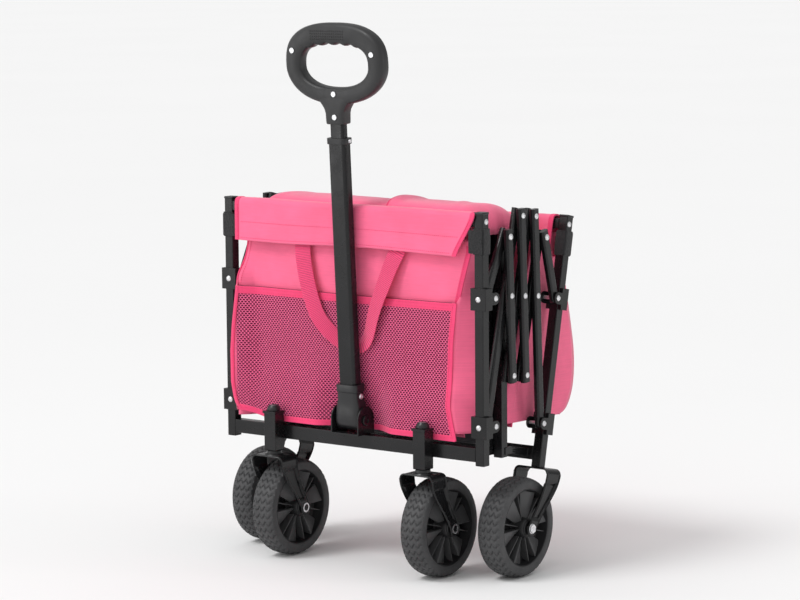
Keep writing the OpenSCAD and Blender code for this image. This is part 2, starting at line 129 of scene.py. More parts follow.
class Material:
    """A node material with a Principled shader and short ways to add nodes."""

    def __init__(self, name, colour, rough, metal=0.0, **sockets):
        self.mat = bpy.data.materials.new(name)
        self.mat.use_nodes = True
        self.tree = self.mat.node_tree
        self.bsdf = self.tree.nodes["Principled BSDF"]
        self.bsdf.inputs["Base Color"].default_value = (*colour, 1)
        self.bsdf.inputs["Roughness"].default_value = rough
        self.bsdf.inputs["Metallic"].default_value = metal
        for key, value in sockets.items():
            self.bsdf.inputs[key.replace("_", " ")].default_value = value
        self.height = None

    def node(self, kind, inputs=None, **props):
        n = self.tree.nodes.new(kind)
        for key, value in props.items():
            setattr(n, key, value)
        for key, value in (inputs or {}).items():
            if isinstance(value, bpy.types.NodeSocket):
                self.tree.links.new(value, n.inputs[key])
            else:
                n.inputs[key].default_value = value
        return n

    def coords(self, uv=False):
        return self.node("ShaderNodeTexCoord").outputs["UV" if uv else "Object"]

    def scaled(self, vector, scale):
        return self.node("ShaderNodeMapping", {"Vector": vector, "Scale": scale}).outputs[0]

    def noise(self, vector, scale, detail=3.0):
        return self.node("ShaderNodeTexNoise", {
            "Vector": vector, "Scale": scale, "Detail": detail}).outputs["Fac"]

    def wave(self, vector, scale, direction):
        return self.node("ShaderNodeTexWave", {"Vector": vector, "Scale": scale},
                         bands_direction=direction, wave_profile="SIN").outputs["Fac"]

    def math(self, operation, a, b):
        return self.node("ShaderNodeMath", {0: a, 1: b}, operation=operation).outputs[0]

    def ramp(self, value, low, high, from_low=0.35, from_high=0.65):
        """Maps value to the range low..high."""
        return self.node("ShaderNodeMapRange", {
            "Value": value, "From Min": from_low, "From Max": from_high,
            "To Min": low, "To Max": high}).outputs["Result"]

    def tint(self, value, dark, light):
        """Base colour between two colours by value."""
        n = self.node("ShaderNodeMix", data_type="RGBA")
        self.tree.links.new(value, n.inputs["Factor"])
        n.inputs["A"].default_value = (*dark, 1)
        n.inputs["B"].default_value = (*light, 1)
        self.tree.links.new(n.outputs["Result"], self.bsdf.inputs["Base Color"])

    def vary_rough(self, value, low, high):
        self.tree.links.new(self.ramp(value, low, high), self.bsdf.inputs["Roughness"])

    def bump(self, value, distance, strength=1.0):
        inputs = {"Height": value, "Distance": distance, "Strength": strength}
        if self.height is not None:
            inputs["Normal"] = self.height
        self.height = self.node("ShaderNodeBump", inputs).outputs[0]
        self.tree.links.new(self.height, self.bsdf.inputs["Normal"])


def shade(colour, factor):
    return tuple(min(c * factor, 1.0) for c in colour)


def powder_coat():
    m = Material("powder_coat", (0.008, 0.008, 0.009), 0.27, Specular_IOR_Level=0.32)
    p = m.coords()
    cloud = m.noise(p, 9.0)
    grain = m.noise(p, 900.0, 2.0)
    m.tint(m.ramp(cloud, 0, 1), (0.006, 0.006, 0.0065), (0.010, 0.010, 0.011))
    m.vary_rough(m.noise(p, 35.0), 0.20, 0.31)
    m.bump(grain, 0.00008, 0.3)
    return m.mat


def zinc():
    m = Material("rivet_zinc", (0.80, 0.80, 0.81), 0.30, 1.0)
    p = m.coords()
    m.tint(m.ramp(m.noise(p, 260.0), 0, 1), (0.66, 0.66, 0.68), (0.90, 0.90, 0.91))
    m.vary_rough(m.noise(p, 400.0), 0.34, 0.50)
    m.bump(m.noise(p, 700.0), 0.0001, 0.3)
    return m.mat


def plastic(name, colour, rough, grain_scale, grain_depth):
    m = Material(name, colour, rough, Specular_IOR_Level=0.45)
    p = m.coords()
    m.tint(m.ramp(m.noise(p, 14.0), 0, 1), shade(colour, 0.85), shade(colour, 1.2))
    m.vary_rough(m.noise(p, 60.0), rough - 0.06, rough + 0.07)
    m.bump(m.noise(p, grain_scale, 2.0), grain_depth, 0.6)
    return m.mat


def grip_texture():
    """Grip plastic with a patch of small pits on the front of its top bar."""
    colour = (0.026, 0.026, 0.027)
    m = Material("grip_plastic", colour, 0.42, Specular_IOR_Level=0.4)
    p = m.coords()
    axes = m.node("ShaderNodeSeparateXYZ", {0: p})
    flat = m.node("ShaderNodeCombineXYZ", {"X": axes.outputs["X"], "Y": axes.outputs["Z"]})
    dots = m.node("ShaderNodeTexVoronoi", {
        "Vector": flat.outputs[0], "Scale": 225.0, "Randomness": 0.0}, voronoi_dimensions="2D")
    patch = m.math("MULTIPLY", m.ramp(axes.outputs["Z"], 0, 1, 0.8820, 0.8824),
                   m.ramp(axes.outputs["Z"], 1, 0, 0.8998, 0.9002))
    for low, high, a, b in ((0, 1, -0.0432, -0.0428), (1, 0, 0.0288, 0.0292)):
        patch = m.math("MULTIPLY", patch, m.ramp(axes.outputs["X"], low, high, a, b))
    pit = m.math("MULTIPLY", m.ramp(dots.outputs["Distance"], 1, 0, 0.20, 0.34), patch)
    # Random tone, darkened in the pits: the darkening in the pits is painted shade.
    tone_and_pit_shade = m.math("SUBTRACT", m.ramp(m.noise(p, 12.0), 0.55, 1.0), m.math("MULTIPLY", pit, 0.8))
    m.tint(tone_and_pit_shade, shade(colour, 0.25), shade(colour, 1.15))
    m.vary_rough(m.noise(p, 80.0), 0.36, 0.48)
    m.bump(m.math("MULTIPLY", pit, -1.0), 0.0009, 1.0)
    m.bump(m.noise(p, 1500.0, 1.0), 0.0001, 0.4)
    return m.mat


def rubber():
    m = Material("tyre_rubber", (0.050, 0.050, 0.052), 0.58, Specular_IOR_Level=0.4)
    p = m.coords()
    m.tint(m.ramp(m.noise(p, 22.0), 0, 1), (0.042, 0.042, 0.044), (0.060, 0.060, 0.062))
    m.vary_rough(m.noise(p, 90.0), 0.50, 0.66)
    m.bump(m.noise(p, 1100.0, 2.0), 0.00015, 0.5)
    return m.mat


def woven(name, colour, pitch, depth, rough, sheen=0.35):
    """Plain weave: warp and weft ribs, crossed, with slow colour variation."""
    m = Material(name, colour, rough, Sheen_Weight=sheen, Sheen_Roughness=0.45,
                 Specular_IOR_Level=0.25)
    p = m.coords(uv=True)
    around = m.coords()
    scale = TAU / (pitch * 20.0)
    warp = m.wave(p, scale, "X")
    weft = m.wave(p, scale, "Y")
    weave = m.math("MULTIPLY", warp, weft)
    cloud = m.noise(around, 16.0)
    slub = m.noise(m.scaled(p, (30.0, 420.0, 30.0)), 1.0)
    slubs = m.math("MULTIPLY", m.ramp(slub, 0, 1), 0.35)
    total = m.math("ADD", slubs, m.math("MULTIPLY", m.ramp(cloud, 0, 1), 0.65))
    m.tint(total, shade(colour, 0.9), shade(colour, 1.08))
    m.bump(m.noise(around, 55.0, 2.0), 0.0012, 0.25)
    m.bump(weave, depth, 0.5)
    return m.mat


def webbing(name, colour, rib):
    """Ribbed webbing: strong ribs across the strap, fine ones along it."""
    m = Material(name, colour, 0.68, Sheen_Weight=0.3, Sheen_Roughness=0.5,
                 Specular_IOR_Level=0.2)
    p = m.coords(uv=True)
    across = m.wave(p, TAU / (rib * 20.0), "Y")
    along = m.wave(p, TAU / (rib * 9.0), "X")
    # The grooves between the ribs are drawn darker: painted shade.
    m.tint(m.ramp(across, 0, 1, 0.0, 0.6), shade(colour, 0.62), shade(colour, 1.12))
    m.bump(across, 0.0008, 1.0)
    m.bump(along, 0.0002, 0.5)
    return m.mat


def hook_and_loop():
    m = Material("hook_and_loop", (0.014, 0.014, 0.015), 0.80, Sheen_Weight=0.2,
                 Sheen_Roughness=0.6, Specular_IOR_Level=0.15)
    p = m.coords()
    loops = m.node("ShaderNodeTexVoronoi", {"Vector": p, "Scale": 620.0}).outputs["Distance"]
    m.tint(m.ramp(loops, 1, 0, 0.05, 0.6), (0.006, 0.006, 0.007), (0.026, 0.026, 0.028))
    m.bump(loops, 0.0008, 0.9)
    m.bump(m.noise(p, 900.0), 0.0004, 0.6)
    return m.mat


def thread(name, colour):
    m = Material(name, colour, 0.6, Sheen_Weight=0.2, Specular_IOR_Level=0.25)
    p = m.coords()
    m.tint(m.ramp(m.noise(p, 500.0), 0, 1), shade(colour, 0.8), shade(colour, 1.1))
    m.bump(m.noise(p, 1800.0), 0.0002, 0.5)
    return m.mat


PINK = (0.92, 0.143, 0.278)
BIND = (0.84, 0.055, 0.175)
STEEL = powder_coat()
ZINC = zinc()
GRIP = grip_texture()
BLACK = plastic("black_plastic", (0.010, 0.010, 0.011), 0.34, 700.0, 0.0001)
HUB = plastic("hub_plastic", (0.006, 0.006, 0.007), 0.50, 900.0, 0.0001)
# The vanes are a lighter grey than the hub bowl around them: painted light on the vanes.
LIT_VANE = plastic("vane_plastic_lit", (0.060, 0.060, 0.062), 0.38, 900.0, 0.0001)
RUBBER = rubber()
FABRIC = woven("pink_oxford", PINK, 0.0011, 0.00012, 0.62)
BINDING = woven("pink_binding", BIND, 0.0009, 0.0002, 0.66)
WEBBING = webbing("pink_webbing", (0.86, 0.062, 0.19), 0.0030)
NET = thread("pocket_net", (0.95, 0.14, 0.32))
STITCH = thread("stitch_thread", (0.78, 0.045, 0.16))
DARK_STITCH = thread("dark_thread", (0.05, 0.05, 0.055))
HOOK = hook_and_loop()
FLOOR_CLOTH = woven("floor_cloth", (0.030, 0.030, 0.033), 0.0013, 0.00018, 0.75, sheen=0.2)


# --- Mesh making ---------------------------------------------------------------

def add_mesh(name, verts, faces, mat, body, uvs=None, angle=40.0):
    """A smooth-shaded mesh object riding on a body. verts are in metres."""
    me = bpy.data.meshes.new(name)
    me.from_pydata([tuple(v) for v in verts], [], faces)
    if uvs is not None:
        layer = me.uv_layers.new(name="UVMap")
        index = np.zeros(len(me.loops), np.int32)
        me.loops.foreach_get("vertex_index", index)
        layer.data.foreach_set("uv", np.array(uvs, np.float32)[index].ravel())
    me.polygons.foreach_set("use_smooth", [True] * len(me.polygons))
    me.set_sharp_from_angle(angle=math.radians(angle))
    me.materials.append(mat)
    me.update()
    ob = bpy.data.objects.new(name, me)
    bpy.context.scene.collection.objects.link(ob)
    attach(ob, body)
    return ob


def grid(nu, nv):
    """Faces of a grid of nu by nv cells, its points numbered row by row."""
    row = nu + 1
    return [(j * row + i, j * row + i + 1, (j + 1) * row + i + 1, (j + 1) * row + i)
            for j in range(nv) for i in range(nu)]


def thicken(ob, thick, offset=0.0):
    solid = ob.modifiers.new("thickness", "SOLIDIFY")
    solid.thickness, solid.offset = thick * MM, offset


def around(centre, x, r, t):
    """The place x mm along the x axis from centre and r mm off it, at angle t."""
    return centre + step(x, r * math.cos(t), r * math.sin(t))


def outward(ob):
    """Turns a closed mesh's faces outward."""
    bm = bmesh.new()
    bm.from_mesh(ob.data)
    bmesh.ops.recalc_face_normals(bm, faces=bm.faces)
    bm.to_mesh(ob.data)
    bm.free()
    return ob


def loft(name, rings, mat, body, closed=False, caps=True, angle=40.0):
    """Joins rings of points, in metres, into a closed tube; closed joins last to first."""
    count = len(rings[0])
    verts = [v for ring in rings for v in ring]
    faces, steps = [], len(rings) if closed else len(rings) - 1
    for i in range(steps):
        a, b = i * count, (i + 1) % len(rings) * count
        for j in range(count):
            k = (j + 1) % count
            faces.append((a + j, a + k, b + k, b + j))
    if caps and not closed:
        faces.append(tuple(range(count))[::-1])
        faces.append(tuple(range((len(rings) - 1) * count, len(rings) * count)))
    arc = [0.0]
    for p, q in zip(rings, rings[1:]):
        arc.append(arc[-1] + (Vector(q[0]) - Vector(p[0])).length)
    girth = [0.0]
    for j in range(1, count):
        girth.append(girth[-1] + (Vector(rings[0][j]) - Vector(rings[0][j - 1])).length)
    uvs = [(girth[j], arc[i]) for i in range(len(rings)) for j in range(count)]
    return outward(add_mesh(name, verts, faces, mat, body, uvs, angle))


def superellipse(half_a, half_b, power, count):
    """Points of a rounded rectangle as (a, b)."""
    out = []
    for i in range(count):
        t = TAU * i / count
        c, s = math.cos(t), math.sin(t)
        out.append((half_a * math.copysign(abs(c) ** (2 / power), c),
                    half_b * math.copysign(abs(s) ** (2 / power), s)))
    return out


def ribbon(name, centres, acrosses, thick, mat, body, power=6.0):
    """A flat strap: centres and half-width vectors in metres, thickness in metres."""
    rings = []
    for i, (c, w) in enumerate(zip(centres, acrosses)):
        before, after = centres[max(i - 1, 0)], centres[min(i + 1, len(centres) - 1)]
        tangent = (Vector(after) - Vector(before)).normalized()
        side = Vector(w)
        up = tangent.cross(side).normalized()
        rings.append([Vector(c) + side * a + up * b
                      for a, b in superellipse(1.0, thick / 2, power, 16)])
    return loft(name, rings, mat, body)


def cord_piece(name, points, radius, mat, body):
    """A round cord such as piping, through points in metres."""
    count = 8
    rings = []
    for i, c in enumerate(points):
        before, after = points[max(i - 1, 0)], points[min(i + 1, len(points) - 1)]
        tangent = (Vector(after) - Vector(before)).normalized()
        side = tangent.orthogonal().normalized()
        up = tangent.cross(side)
        rings.append([Vector(c) + (side * math.cos(TAU * k / count)
                                   + up * math.sin(TAU * k / count)) * radius
                      for k in range(count)])
    for first, ring in zip(rings, rings[1:]):
        best = min(range(count), key=lambda s: (Vector(ring[s]) - Vector(first[0])).length)
        ring[:] = ring[best:] + ring[:best]
    return loft(name, rings, mat, body)


def tape(name, centres, across, body="front_frame", thick=2.2):
    """Binding tape of thick mm along centres; across is its half-width vector."""
    ribbon(name, centres, [across] * len(centres), thick * MM, BINDING, body)


def piping(name, points, radius, body="front_frame"):
    return cord_piece(name, points, radius * MM, BINDING, body)


def box_mesh(name, corner_a, corner_b, place, radius, mat, body):
    """A box with rounded edges, between two corners in place()'s millimetres."""
    bm = bmesh.new()
    bmesh.ops.create_cube(bm, size=1.0)
    a, b = Vector(corner_a), Vector(corner_b)
    for v in bm.verts:
        v.co = Vector(((a[k] + b[k]) / 2 + v.co[k] * (b[k] - a[k]) for k in range(3)))
    bmesh.ops.bevel(bm, geom=list(bm.edges), offset=radius, segments=3, profile=0.5,
                    affect="EDGES", clamp_overlap=True)
    bm.verts.index_update()
    verts = [place(*v.co) for v in bm.verts]
    faces = [tuple(v.index for v in f.verts) for f in bm.faces]
    bm.free()
    return outward(add_mesh(name, verts, faces, mat, body))


def revolve(name, profile, centre, mat, body, segments=96, side=1):
    """Revolves (x, r) points in mm about the x axis through centre, a place in metres."""
    rings = [[around(centre, side * x, r, TAU * i / segments) for x, r in profile]
             for i in range(segments)]
    return loft(name, rings, mat, body, closed=True)


def cloth(name, shape, size, cells, mat, body,
          thick=1.4):
    """A sheet: shape(u, v) gives a place in metres; size is (width, length) in mm."""
    nu, nv = cells
    verts, uvs = [], []
    for j in range(nv + 1):
        for i in range(nu + 1):
            u, v = i / nu, j / nv
            verts.append(shape(u, v))
            uvs.append((u * size[0] * MM, v * size[1] * MM))
    ob = add_mesh(name, verts, grid(nu, nv), mat, body, uvs, 60.0)
    thicken(ob, thick)
    return ob


def stitches(name, path, body, mat=None):
    """A row of short stitches along points in metres."""
    pitch, length, radius = 4.0 * MM, 2.6 * MM, 0.42 * MM
    stations = ((0.0, 0.35), (0.18, 1.0), (0.82, 1.0), (1.0, 0.35))
    p = np.array([tuple(v) for v in path])
    d = np.r_[0, np.cumsum(np.linalg.norm(np.diff(p, axis=0), axis=1))]
    verts, faces = [], []
    at = 0.5 * pitch
    while at + length < d[-1]:
        start, end = (np.array([np.interp(s, d, p[:, k]) for k in range(3)])
                      for s in (at, at + length))
        axis = Vector(end - start).normalized()
        side = axis.orthogonal().normalized()
        up = axis.cross(side)
        base = len(verts)
        for t, grow in stations:
            c = Vector(start + (end - start) * t)
            for k in range(6):
                a = TAU * k / 6
                verts.append(c + (side * math.cos(a) + up * math.sin(a)) * radius * grow)
        for r in range(base, base + 18, 6):
            faces += [(r + k, r + (k + 1) % 6, r + 6 + (k + 1) % 6, r + 6 + k)
                      for k in range(6)]
        faces.append(tuple(range(base, base + 6))[::-1])
        faces.append(tuple(range(base + 18, base + 24)))
        at += pitch
    return add_mesh(name, verts, faces, mat or STITCH, body)


def settle(ob, pinned, cap, pressure=0.0):
    """Cloth simulation of a sheet, its result kept in the mesh; pinned(index, co) is 0..1."""
    rest = np.array([v.co for v in ob.data.vertices])
    others = [(m, m.show_viewport) for m in ob.modifiers]
    for m, _ in others:
        m.show_viewport = False
    group = ob.vertex_groups.new(name="pin")
    for i, co in enumerate(rest):
        group.add([i], float(pinned(i, Vector(co))), "REPLACE")
    mod = ob.modifiers.new("Cloth", "CLOTH")
    s = mod.settings
    s.quality = 6
    s.mass = 0.25
    s.tension_stiffness = s.compression_stiffness = s.shear_stiffness = 15.0
    s.bending_stiffness = 0.6
    s.vertex_group_mass = "pin"
    s.effector_weights.gravity = 1.0
    if pressure:
        s.use_pressure = True
        s.uniform_pressure_force = pressure
    mod.point_cache.frame_start, mod.point_cache.frame_end = 1, SETTLE_FRAMES
    scene = bpy.context.scene
    for f in range(1, SETTLE_FRAMES + 1):
        scene.frame_set(f)
    graph = bpy.context.evaluated_depsgraph_get()
    moved = np.array([v.co for v in ob.evaluated_get(graph).data.vertices])
    scene.frame_set(1)
    ob.modifiers.remove(mod)
    ob.vertex_groups.remove(group)
    shift = moved - rest
    size = np.linalg.norm(shift, axis=1)
    limit = cap * MM
    keep = np.where(size > limit, limit / np.maximum(size, 1e-9), 1.0)
    ob.data.vertices.foreach_set("co", (rest + shift * keep[:, None]).astype(np.float32).ravel())
    ob.data.update()
    for m, shown in others:
        m.show_viewport = shown
    return ob


def ripple(x, z, seed):
    """Slow, fixed wrinkles of a cloth, about -1 to 1."""
    return (0.5 * math.sin(x / 41.0 + seed * 1.7 + math.sin(z / 63.0 + seed))
            + 0.3 * math.sin(z / 29.0 - x / 57.0 + seed * 2.3)
            + 0.2 * math.sin(x / 17.0 + z / 23.0 + seed * 0.9))


# --- CAD nodes that stay ---------------------------------------------------------

def keep_nodes(names, mat, bevel=0.0):
    """Gives CAD nodes their material and, where they are sheet or tube, rounded edges."""
    for n in names:
        ob = nodes[n]
        ob.data.materials.clear()
        ob.data.materials.append(mat)
        if bevel:
            weld = ob.modifiers.new("weld", "WELD")
            weld.merge_threshold = 0.00001
            edge = ob.modifiers.new("edge", "BEVEL")
            edge.width = bevel * MM
            edge.segments = 3
            edge.limit_method = "ANGLE"
            edge.angle_limit = math.radians(40)
            edge.harden_normals = True
            edge.use_clamp_overlap = True


keep_nodes(["front_left_post", "front_right_post", "rear_left_post", "rear_right_post",
            "front_bottom_rail", "front_top_rail", "rear_bottom_rail", "rear_top_rail",
            "front_floor_bars", "rear_floor_bars", "caster_sockets"], STEEL, 1.6)
keep_nodes(["front_brackets", "rear_brackets", "handle_bracket"], STEEL, 0.9)
keep_nodes(["front_long_bars", "front_cross_bars", "middle_cross_bars", "middle_long_bars",
            "rear_long_bars", "rear_cross_bars", "front_short_links", "rear_short_links"],
           STEEL, 0.8)
keep_nodes(["handle_outer_tube", "handle_inner_tube"], STEEL, 0.5)
keep_nodes(["front_rivets", "rear_rivets", "front_long_rivets", "front_cross_rivets",
            "middle_cross_rivets", "middle_long_rivets", "rear_long_rivets",
            "handle_button", "grip_screws", "rear_axles"], ZINC, 0.3)
keep_nodes(["handle_collar"], BLACK, 1.5)


# --- Wheels ----------------------------------------------------------------------

def tread_depth(arc, x):
    """How deep the tread is cut, 0..1, at arc mm round the tyre and x mm across it."""
    pitch, groove = 13.04, 1.25
    wave_x = abs((x / 11.0 + 0.25) % 1.0 - 0.5) * 4 - 1
    place = (arc + 4.2 * wave_x) % pitch
    across = abs(place - pitch / 2)
    cut = 1 - smooth((across - groove) / 0.9)
    branch = abs((arc + 2.0) % pitch - pitch / 2)
    notch = (1 - smooth((branch - 1.0) / 0.8)) * smooth((abs(x) - 15.5) / 1.5)
    return max(cut, notch)


def tyre_mesh(name, centre, body, node):
    """Crowned tyre with wavy grooves cut across its tread."""
    half = TYRE_W / 2
    side = [(-half + 1.6, RIM_R), (-half + 0.3, RIM_R + 1.6), (-half, RIM_R + 4.5),
            (-half + 0.2, WHEEL_R - 8.5), (-half + 0.9, WHEEL_R - 5.6)]
    crown = [(x, WHEEL_R - 3.9 * abs(x / (half - 2.2)) ** 3.0)
             for x in np.linspace(-half + 2.2, half - 2.2, 34)]
    profile = side + crown + [(-x, r) for x, r in side[::-1]]
    steps = 480
    rings = []
    for i in range(steps):
        t = TAU * i / steps
        ring = []
        for x, r in profile:
            if abs(x) <= half - 2.0:
                r -= 1.9 * tread_depth(t * WHEEL_R, x)
            ring.append(around(centre, x, r, t))
        rings.append(ring)
    ob = loft(name, rings, RUBBER, body, closed=True, angle=50)
    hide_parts(node)


def rim_mesh(name, centre, body, node):
    """Deep-dished rim: a bowl on each face, slanted wedge vanes, and a stepped hub."""
    edge = TYRE_W / 2 - 1.6
    bowl = [(-edge, RIM_R - 0.1), (-edge - 0.2, RIM_R - 0.9), (-edge + 0.4, RIM_R - 1.7),
            (-edge + 4.0, RIM_R - 2.4), (-9.0, RIM_R - 4.0), (-4.0, RIM_R - 6.0),
            (-2.2, RIM_R - 12.0), (-2.2, 20.0), (-4.5, 18.0), (-17.0, 16.4),
            (-23.5, 15.6), (-25.0, 14.2), (-25.0, 5.3)]
    profile = bowl + [(-x, r) for x, r in bowl[::-1]]
    ob = revolve(name, profile, centre, HUB, body)
    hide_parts(node)
    verts, faces = [], []
    vanes, spread, rows = 6, math.radians(15.0), 7
    for s in (-1, 1):
        for k in range(2 * vanes):
            mid = math.pi * k / vanes + (0.26 if s > 0 else 0.0)
            base = len(verts)
            for j in range(rows):
                r = lerp(15.4, RIM_R - 2.2, j / (rows - 1))
                if k % 2:
                    half = 0.7 / r
                    section = ((-half, 1.0), (-half, 15.0), (half, 15.0), (half, 1.0))
                else:
                    section = ((-spread, 1.0), (-spread, 17.0), (-spread + 1.0 / r, 17.6),
                               (spread - 1.0 / r, 9.6), (spread, 9.0), (spread, 1.0))
                verts += [around(centre, s * x, r, mid + s * a) for a, x in section]
            n = len(section)
            for j in range(rows - 1):
                for q in range(n):
                    a, b = base + j * n, base + (j + 1) * n
                    faces.append((a + q, a + (q + 1) % n, b + (q + 1) % n, b + q))
            faces.append(tuple(base + q for q in range(n))[::-1])
            faces.append(tuple(base + (rows - 1) * n + q for q in range(n)))
    # The vanes take the lighter grey: painted light.
    outward(add_mesh(name + "_vanes", verts, faces, LIT_VANE, body, angle=20))
    cap = [(25.0, 12.6), (26.4, 12.0), (26.9, 10.4), (26.9, 5.6), (25.4, 5.4)]
    for s, tag in ((-1, "_cap_a"), (1, "_cap_b")):
        revolve(name + tag, cap, centre, BLACK, body, 40, side=s)


for word, sign in SIDES:
    for where in ("caster", "rear"):
        stem = f"{word}_{where}"
        middle = sum(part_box(f"{stem}_tyre"), Vector()) / 2
        tyre_mesh(f"{stem}_tread", middle, f"{stem}_wheel", f"{stem}_tyre")
        rim_mesh(f"{stem}_dish", middle, f"{stem}_wheel", f"{stem}_rim")


# --- Forks -----------------------------------------------------------------------

def fork_mesh(name, top, axle, body, replaced):
    """Pressed-steel fork: one bent sheet with lipped edges and embossed arms.

    top(x, y, z) places points about the plate's centre; axle is (y, z) there."""
    half_w, depth, bend = 30.5, 41.0, 7.0
    ay, az = axle
    arm = [i / 45 for i in range(46)]
    eye = 13.0
    rows = ([("arm", -1, s) for s in arm[::-1]] + [("bend", -1, 1 - k / 6) for k in range(1, 6)]
            + [("top", 0, -1 + k / 4) for k in range(9)]
            + [("bend", 1, k / 6) for k in range(1, 6)] + [("arm", 1, s) for s in arm])
    cols = 30
    verts, uvs = [], []
    for kind, side, s in rows:
        for c in range(cols + 1):
            t = c / cols * 2 - 1
            lip = smooth((abs(t) - 0.86) / 0.14)
            if kind == "arm":
                z0 = -bend
                z = lerp(z0, az - eye * 0.94, s)
                along = (z - z0) / (az - z0)
                mid = ay * smooth(max(along, 0.0) * 0.72 + 0.02) / smooth(0.74)
                mid = min(mid, ay) if ay > 0 else max(mid, ay)
                half = lerp(depth / 2, eye, smooth(along * 1.15))
                below = az - z
                if below > 0:
                    half = math.sqrt(max(eye * eye - below * below, 4.0))
                y = mid + half * t
                x = half_w
                inset = min(1.0, (1 - abs(t)) * half / 6.0)
                ends = min((along - 0.12) / 0.07, (0.86 - along) / 0.07)
                deep = smooth(inset * 2.4 - 1.2) * smooth(ends)
                x += 1.9 * lip - 3.6 * deep
                point = (side * x, y, z)
            elif kind == "bend":
                a = s * math.pi / 2
                x = half_w - bend + bend * math.sin(a) + 0.8 * lip * math.sin(a)
                z = -bend + bend * math.cos(a) + 0.8 * lip * math.cos(a)
                point = (side * x, depth / 2 * t, z)
            else:
                x = (half_w - bend) * s
                point = (x, depth / 2 * t, 0.9 * lip)
            verts.append(top(*point))
            uvs.append((c * 1.5 * MM, len(uvs) / (cols + 1) * 2 * MM))
    ob = add_mesh(name, verts, grid(cols, len(rows) - 1), STEEL, body, uvs, 50)
    thicken(ob, 2.6, -1.0)
    edge = ob.modifiers.new("edge", "BEVEL")
    edge.width, edge.segments = 0.9 * MM, 2
    edge.limit_method, edge.angle_limit = "ANGLE", math.radians(60)
    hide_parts(*replaced)
    centre = top(0, ay, az)
    for s, tag in ((-1, "_washer_a"), (1, "_washer_b")):
        ring = [(30.6, 9.6), (32.2, 9.4), (33.2, 8.2), (33.4, 7.0), (33.2, 5.6), (31.6, 4.6),
                (30.6, 4.6)]
        revolve(name + tag, ring, centre, ZINC, body, 36, side=s)


def caster_top(word):
    """Places points about the centre of a caster fork's top plate."""
    low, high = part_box(f"{word}_caster_fork")
    x = (low.x + high.x) / 2 / MM
    return lambda px, py, pz: front(x + px, -12.5 + py, 176.0 + pz)


for word, sign in SIDES:
    body = f"{word}_caster"
    top = caster_top(word)
    fork_mesh(f"{word}_fork", top, (44.0, -93.0), body, [f"{word}_caster_fork"])
    centre = top(0, 44.0, -93.0)
    revolve(f"{word}_caster_axle", [(-33, 0.01), (-33, 3.9), (33, 3.9), (33, 0.01)], centre,
            BLACK, body, 24)
    stack = [(0.2, 0.0), (0.2, 17.0), (2.2, 17.6), (4.2, 16.4), (5.0, 13.0), (9.4, 12.4),
             (9.8, 11.0), (9.8, 0.0)]
    column = [(9.8, 0.0), (9.8, 6.0), (88.0, 6.0), (88.0, 0.0)]
    nut = [(78.6, 0.0), (78.6, 11.4), (80.2, 11.6), (84.0, 10.4), (87.5, 7.6), (89.0, 0.0)]
    for tag, profile, mat in (("_race", stack, BLACK), ("_pin", column, ZINC),
                              ("_nut", nut, BLACK)):
        rings = [[top(r * math.cos(t), r * math.sin(t), z) for z, r in profile]
                 for t in (TAU * i / 28 for i in range(28))]
        loft(f"{word}_caster{tag}", rings, mat, body, closed=True, caps=False)

rear_axle = sum(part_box("left_rear_tyre"), Vector()) / 2
for word, sign in SIDES:
    def top(x, y, z, sign=sign):
        return rear(sign * POST_X + x, PIVOT_BACK - TUBE / 2 + y, -76.0 + z)
    local = rear_axle / MM - Vector((0, HOME + REAR_LOW[0], REAR_LOW[1]))
    c, s = math.cos(REAR_LEAN), math.sin(REAR_LEAN)
    ay = local.y * c - local.z * s - (PIVOT_BACK - TUBE / 2)
    az = local.y * s + local.z * c + 76.0
    fork_mesh(f"{word}_rear_fork", top, (ay, az), "rear_frame",
              ["rear_forks"] if sign > 0 else [])


# --- Handle ----------------------------------------------------------------------

def grip_mesh():
    """Rounded grip ring with finger scallops, and the neck that joins it to the tube."""
    w, h, z0 = 101.0, 67.0, 597.0
    hole_w, hole_h = 69.0, 35.5
    rings = []
    steps = 180
    for i in range(steps):
        t = TAU * i / steps
        ct, st = math.cos(t), math.sin(t)

        def oval(a, b, power, rise):
            return (a * math.copysign(abs(ct) ** (2 / power), ct) + 2.0,
                    b * math.copysign(abs(st) ** (2 / power), st) + rise)
        ox, oz = oval(w, h, lerp(2.15, 2.55, smooth((st + 0.4) / 0.8)), -3.0)
        ix, iz = oval(hole_w, hole_h, lerp(2.2, 2.7, smooth((st + 0.4) / 0.8)), -6.0)
        if st > 0.2 and abs(ix) < 50:
            iz -= 1.6 * math.cos(TAU * ix / 24.0) * smooth((50 - abs(ix)) / 12) + 1.0
        outer, inner = np.array((ox, oz)), np.array((ix, iz))
        mid, reach = (outer + inner) / 2, (outer - inner) / 2
        ring = []
        for a, b in superellipse(1.0, 13.5, 3.0, 24):
            p = mid + reach * a
            ring.append(handle(p[0], b, z0 + p[1]))
        rings.append(ring)
    ob = loft("grip_ring", rings, GRIP, "handle_rod", closed=True)
    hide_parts("handle_grip")
    sections = [(-44.0, 46.0, 12.4), (-54.0, 41.0, 13.2), (-62.0, 34.0, 13.5),
                (-70.0, 26.5, 13.5), (-77.0, 21.4, 13.4), (-84.0, 19.2, 13.3),
                (-98.0, 18.6, 13.3), (-101.2, 18.2, 12.8), (-102.0, 17.4, 12.0)]
    loft("grip_neck", [[handle(a, b, z0 + z) for a, b in superellipse(x, y, 5.0, 36)]
                       for z, x, y in sections], GRIP, "handle_rod")


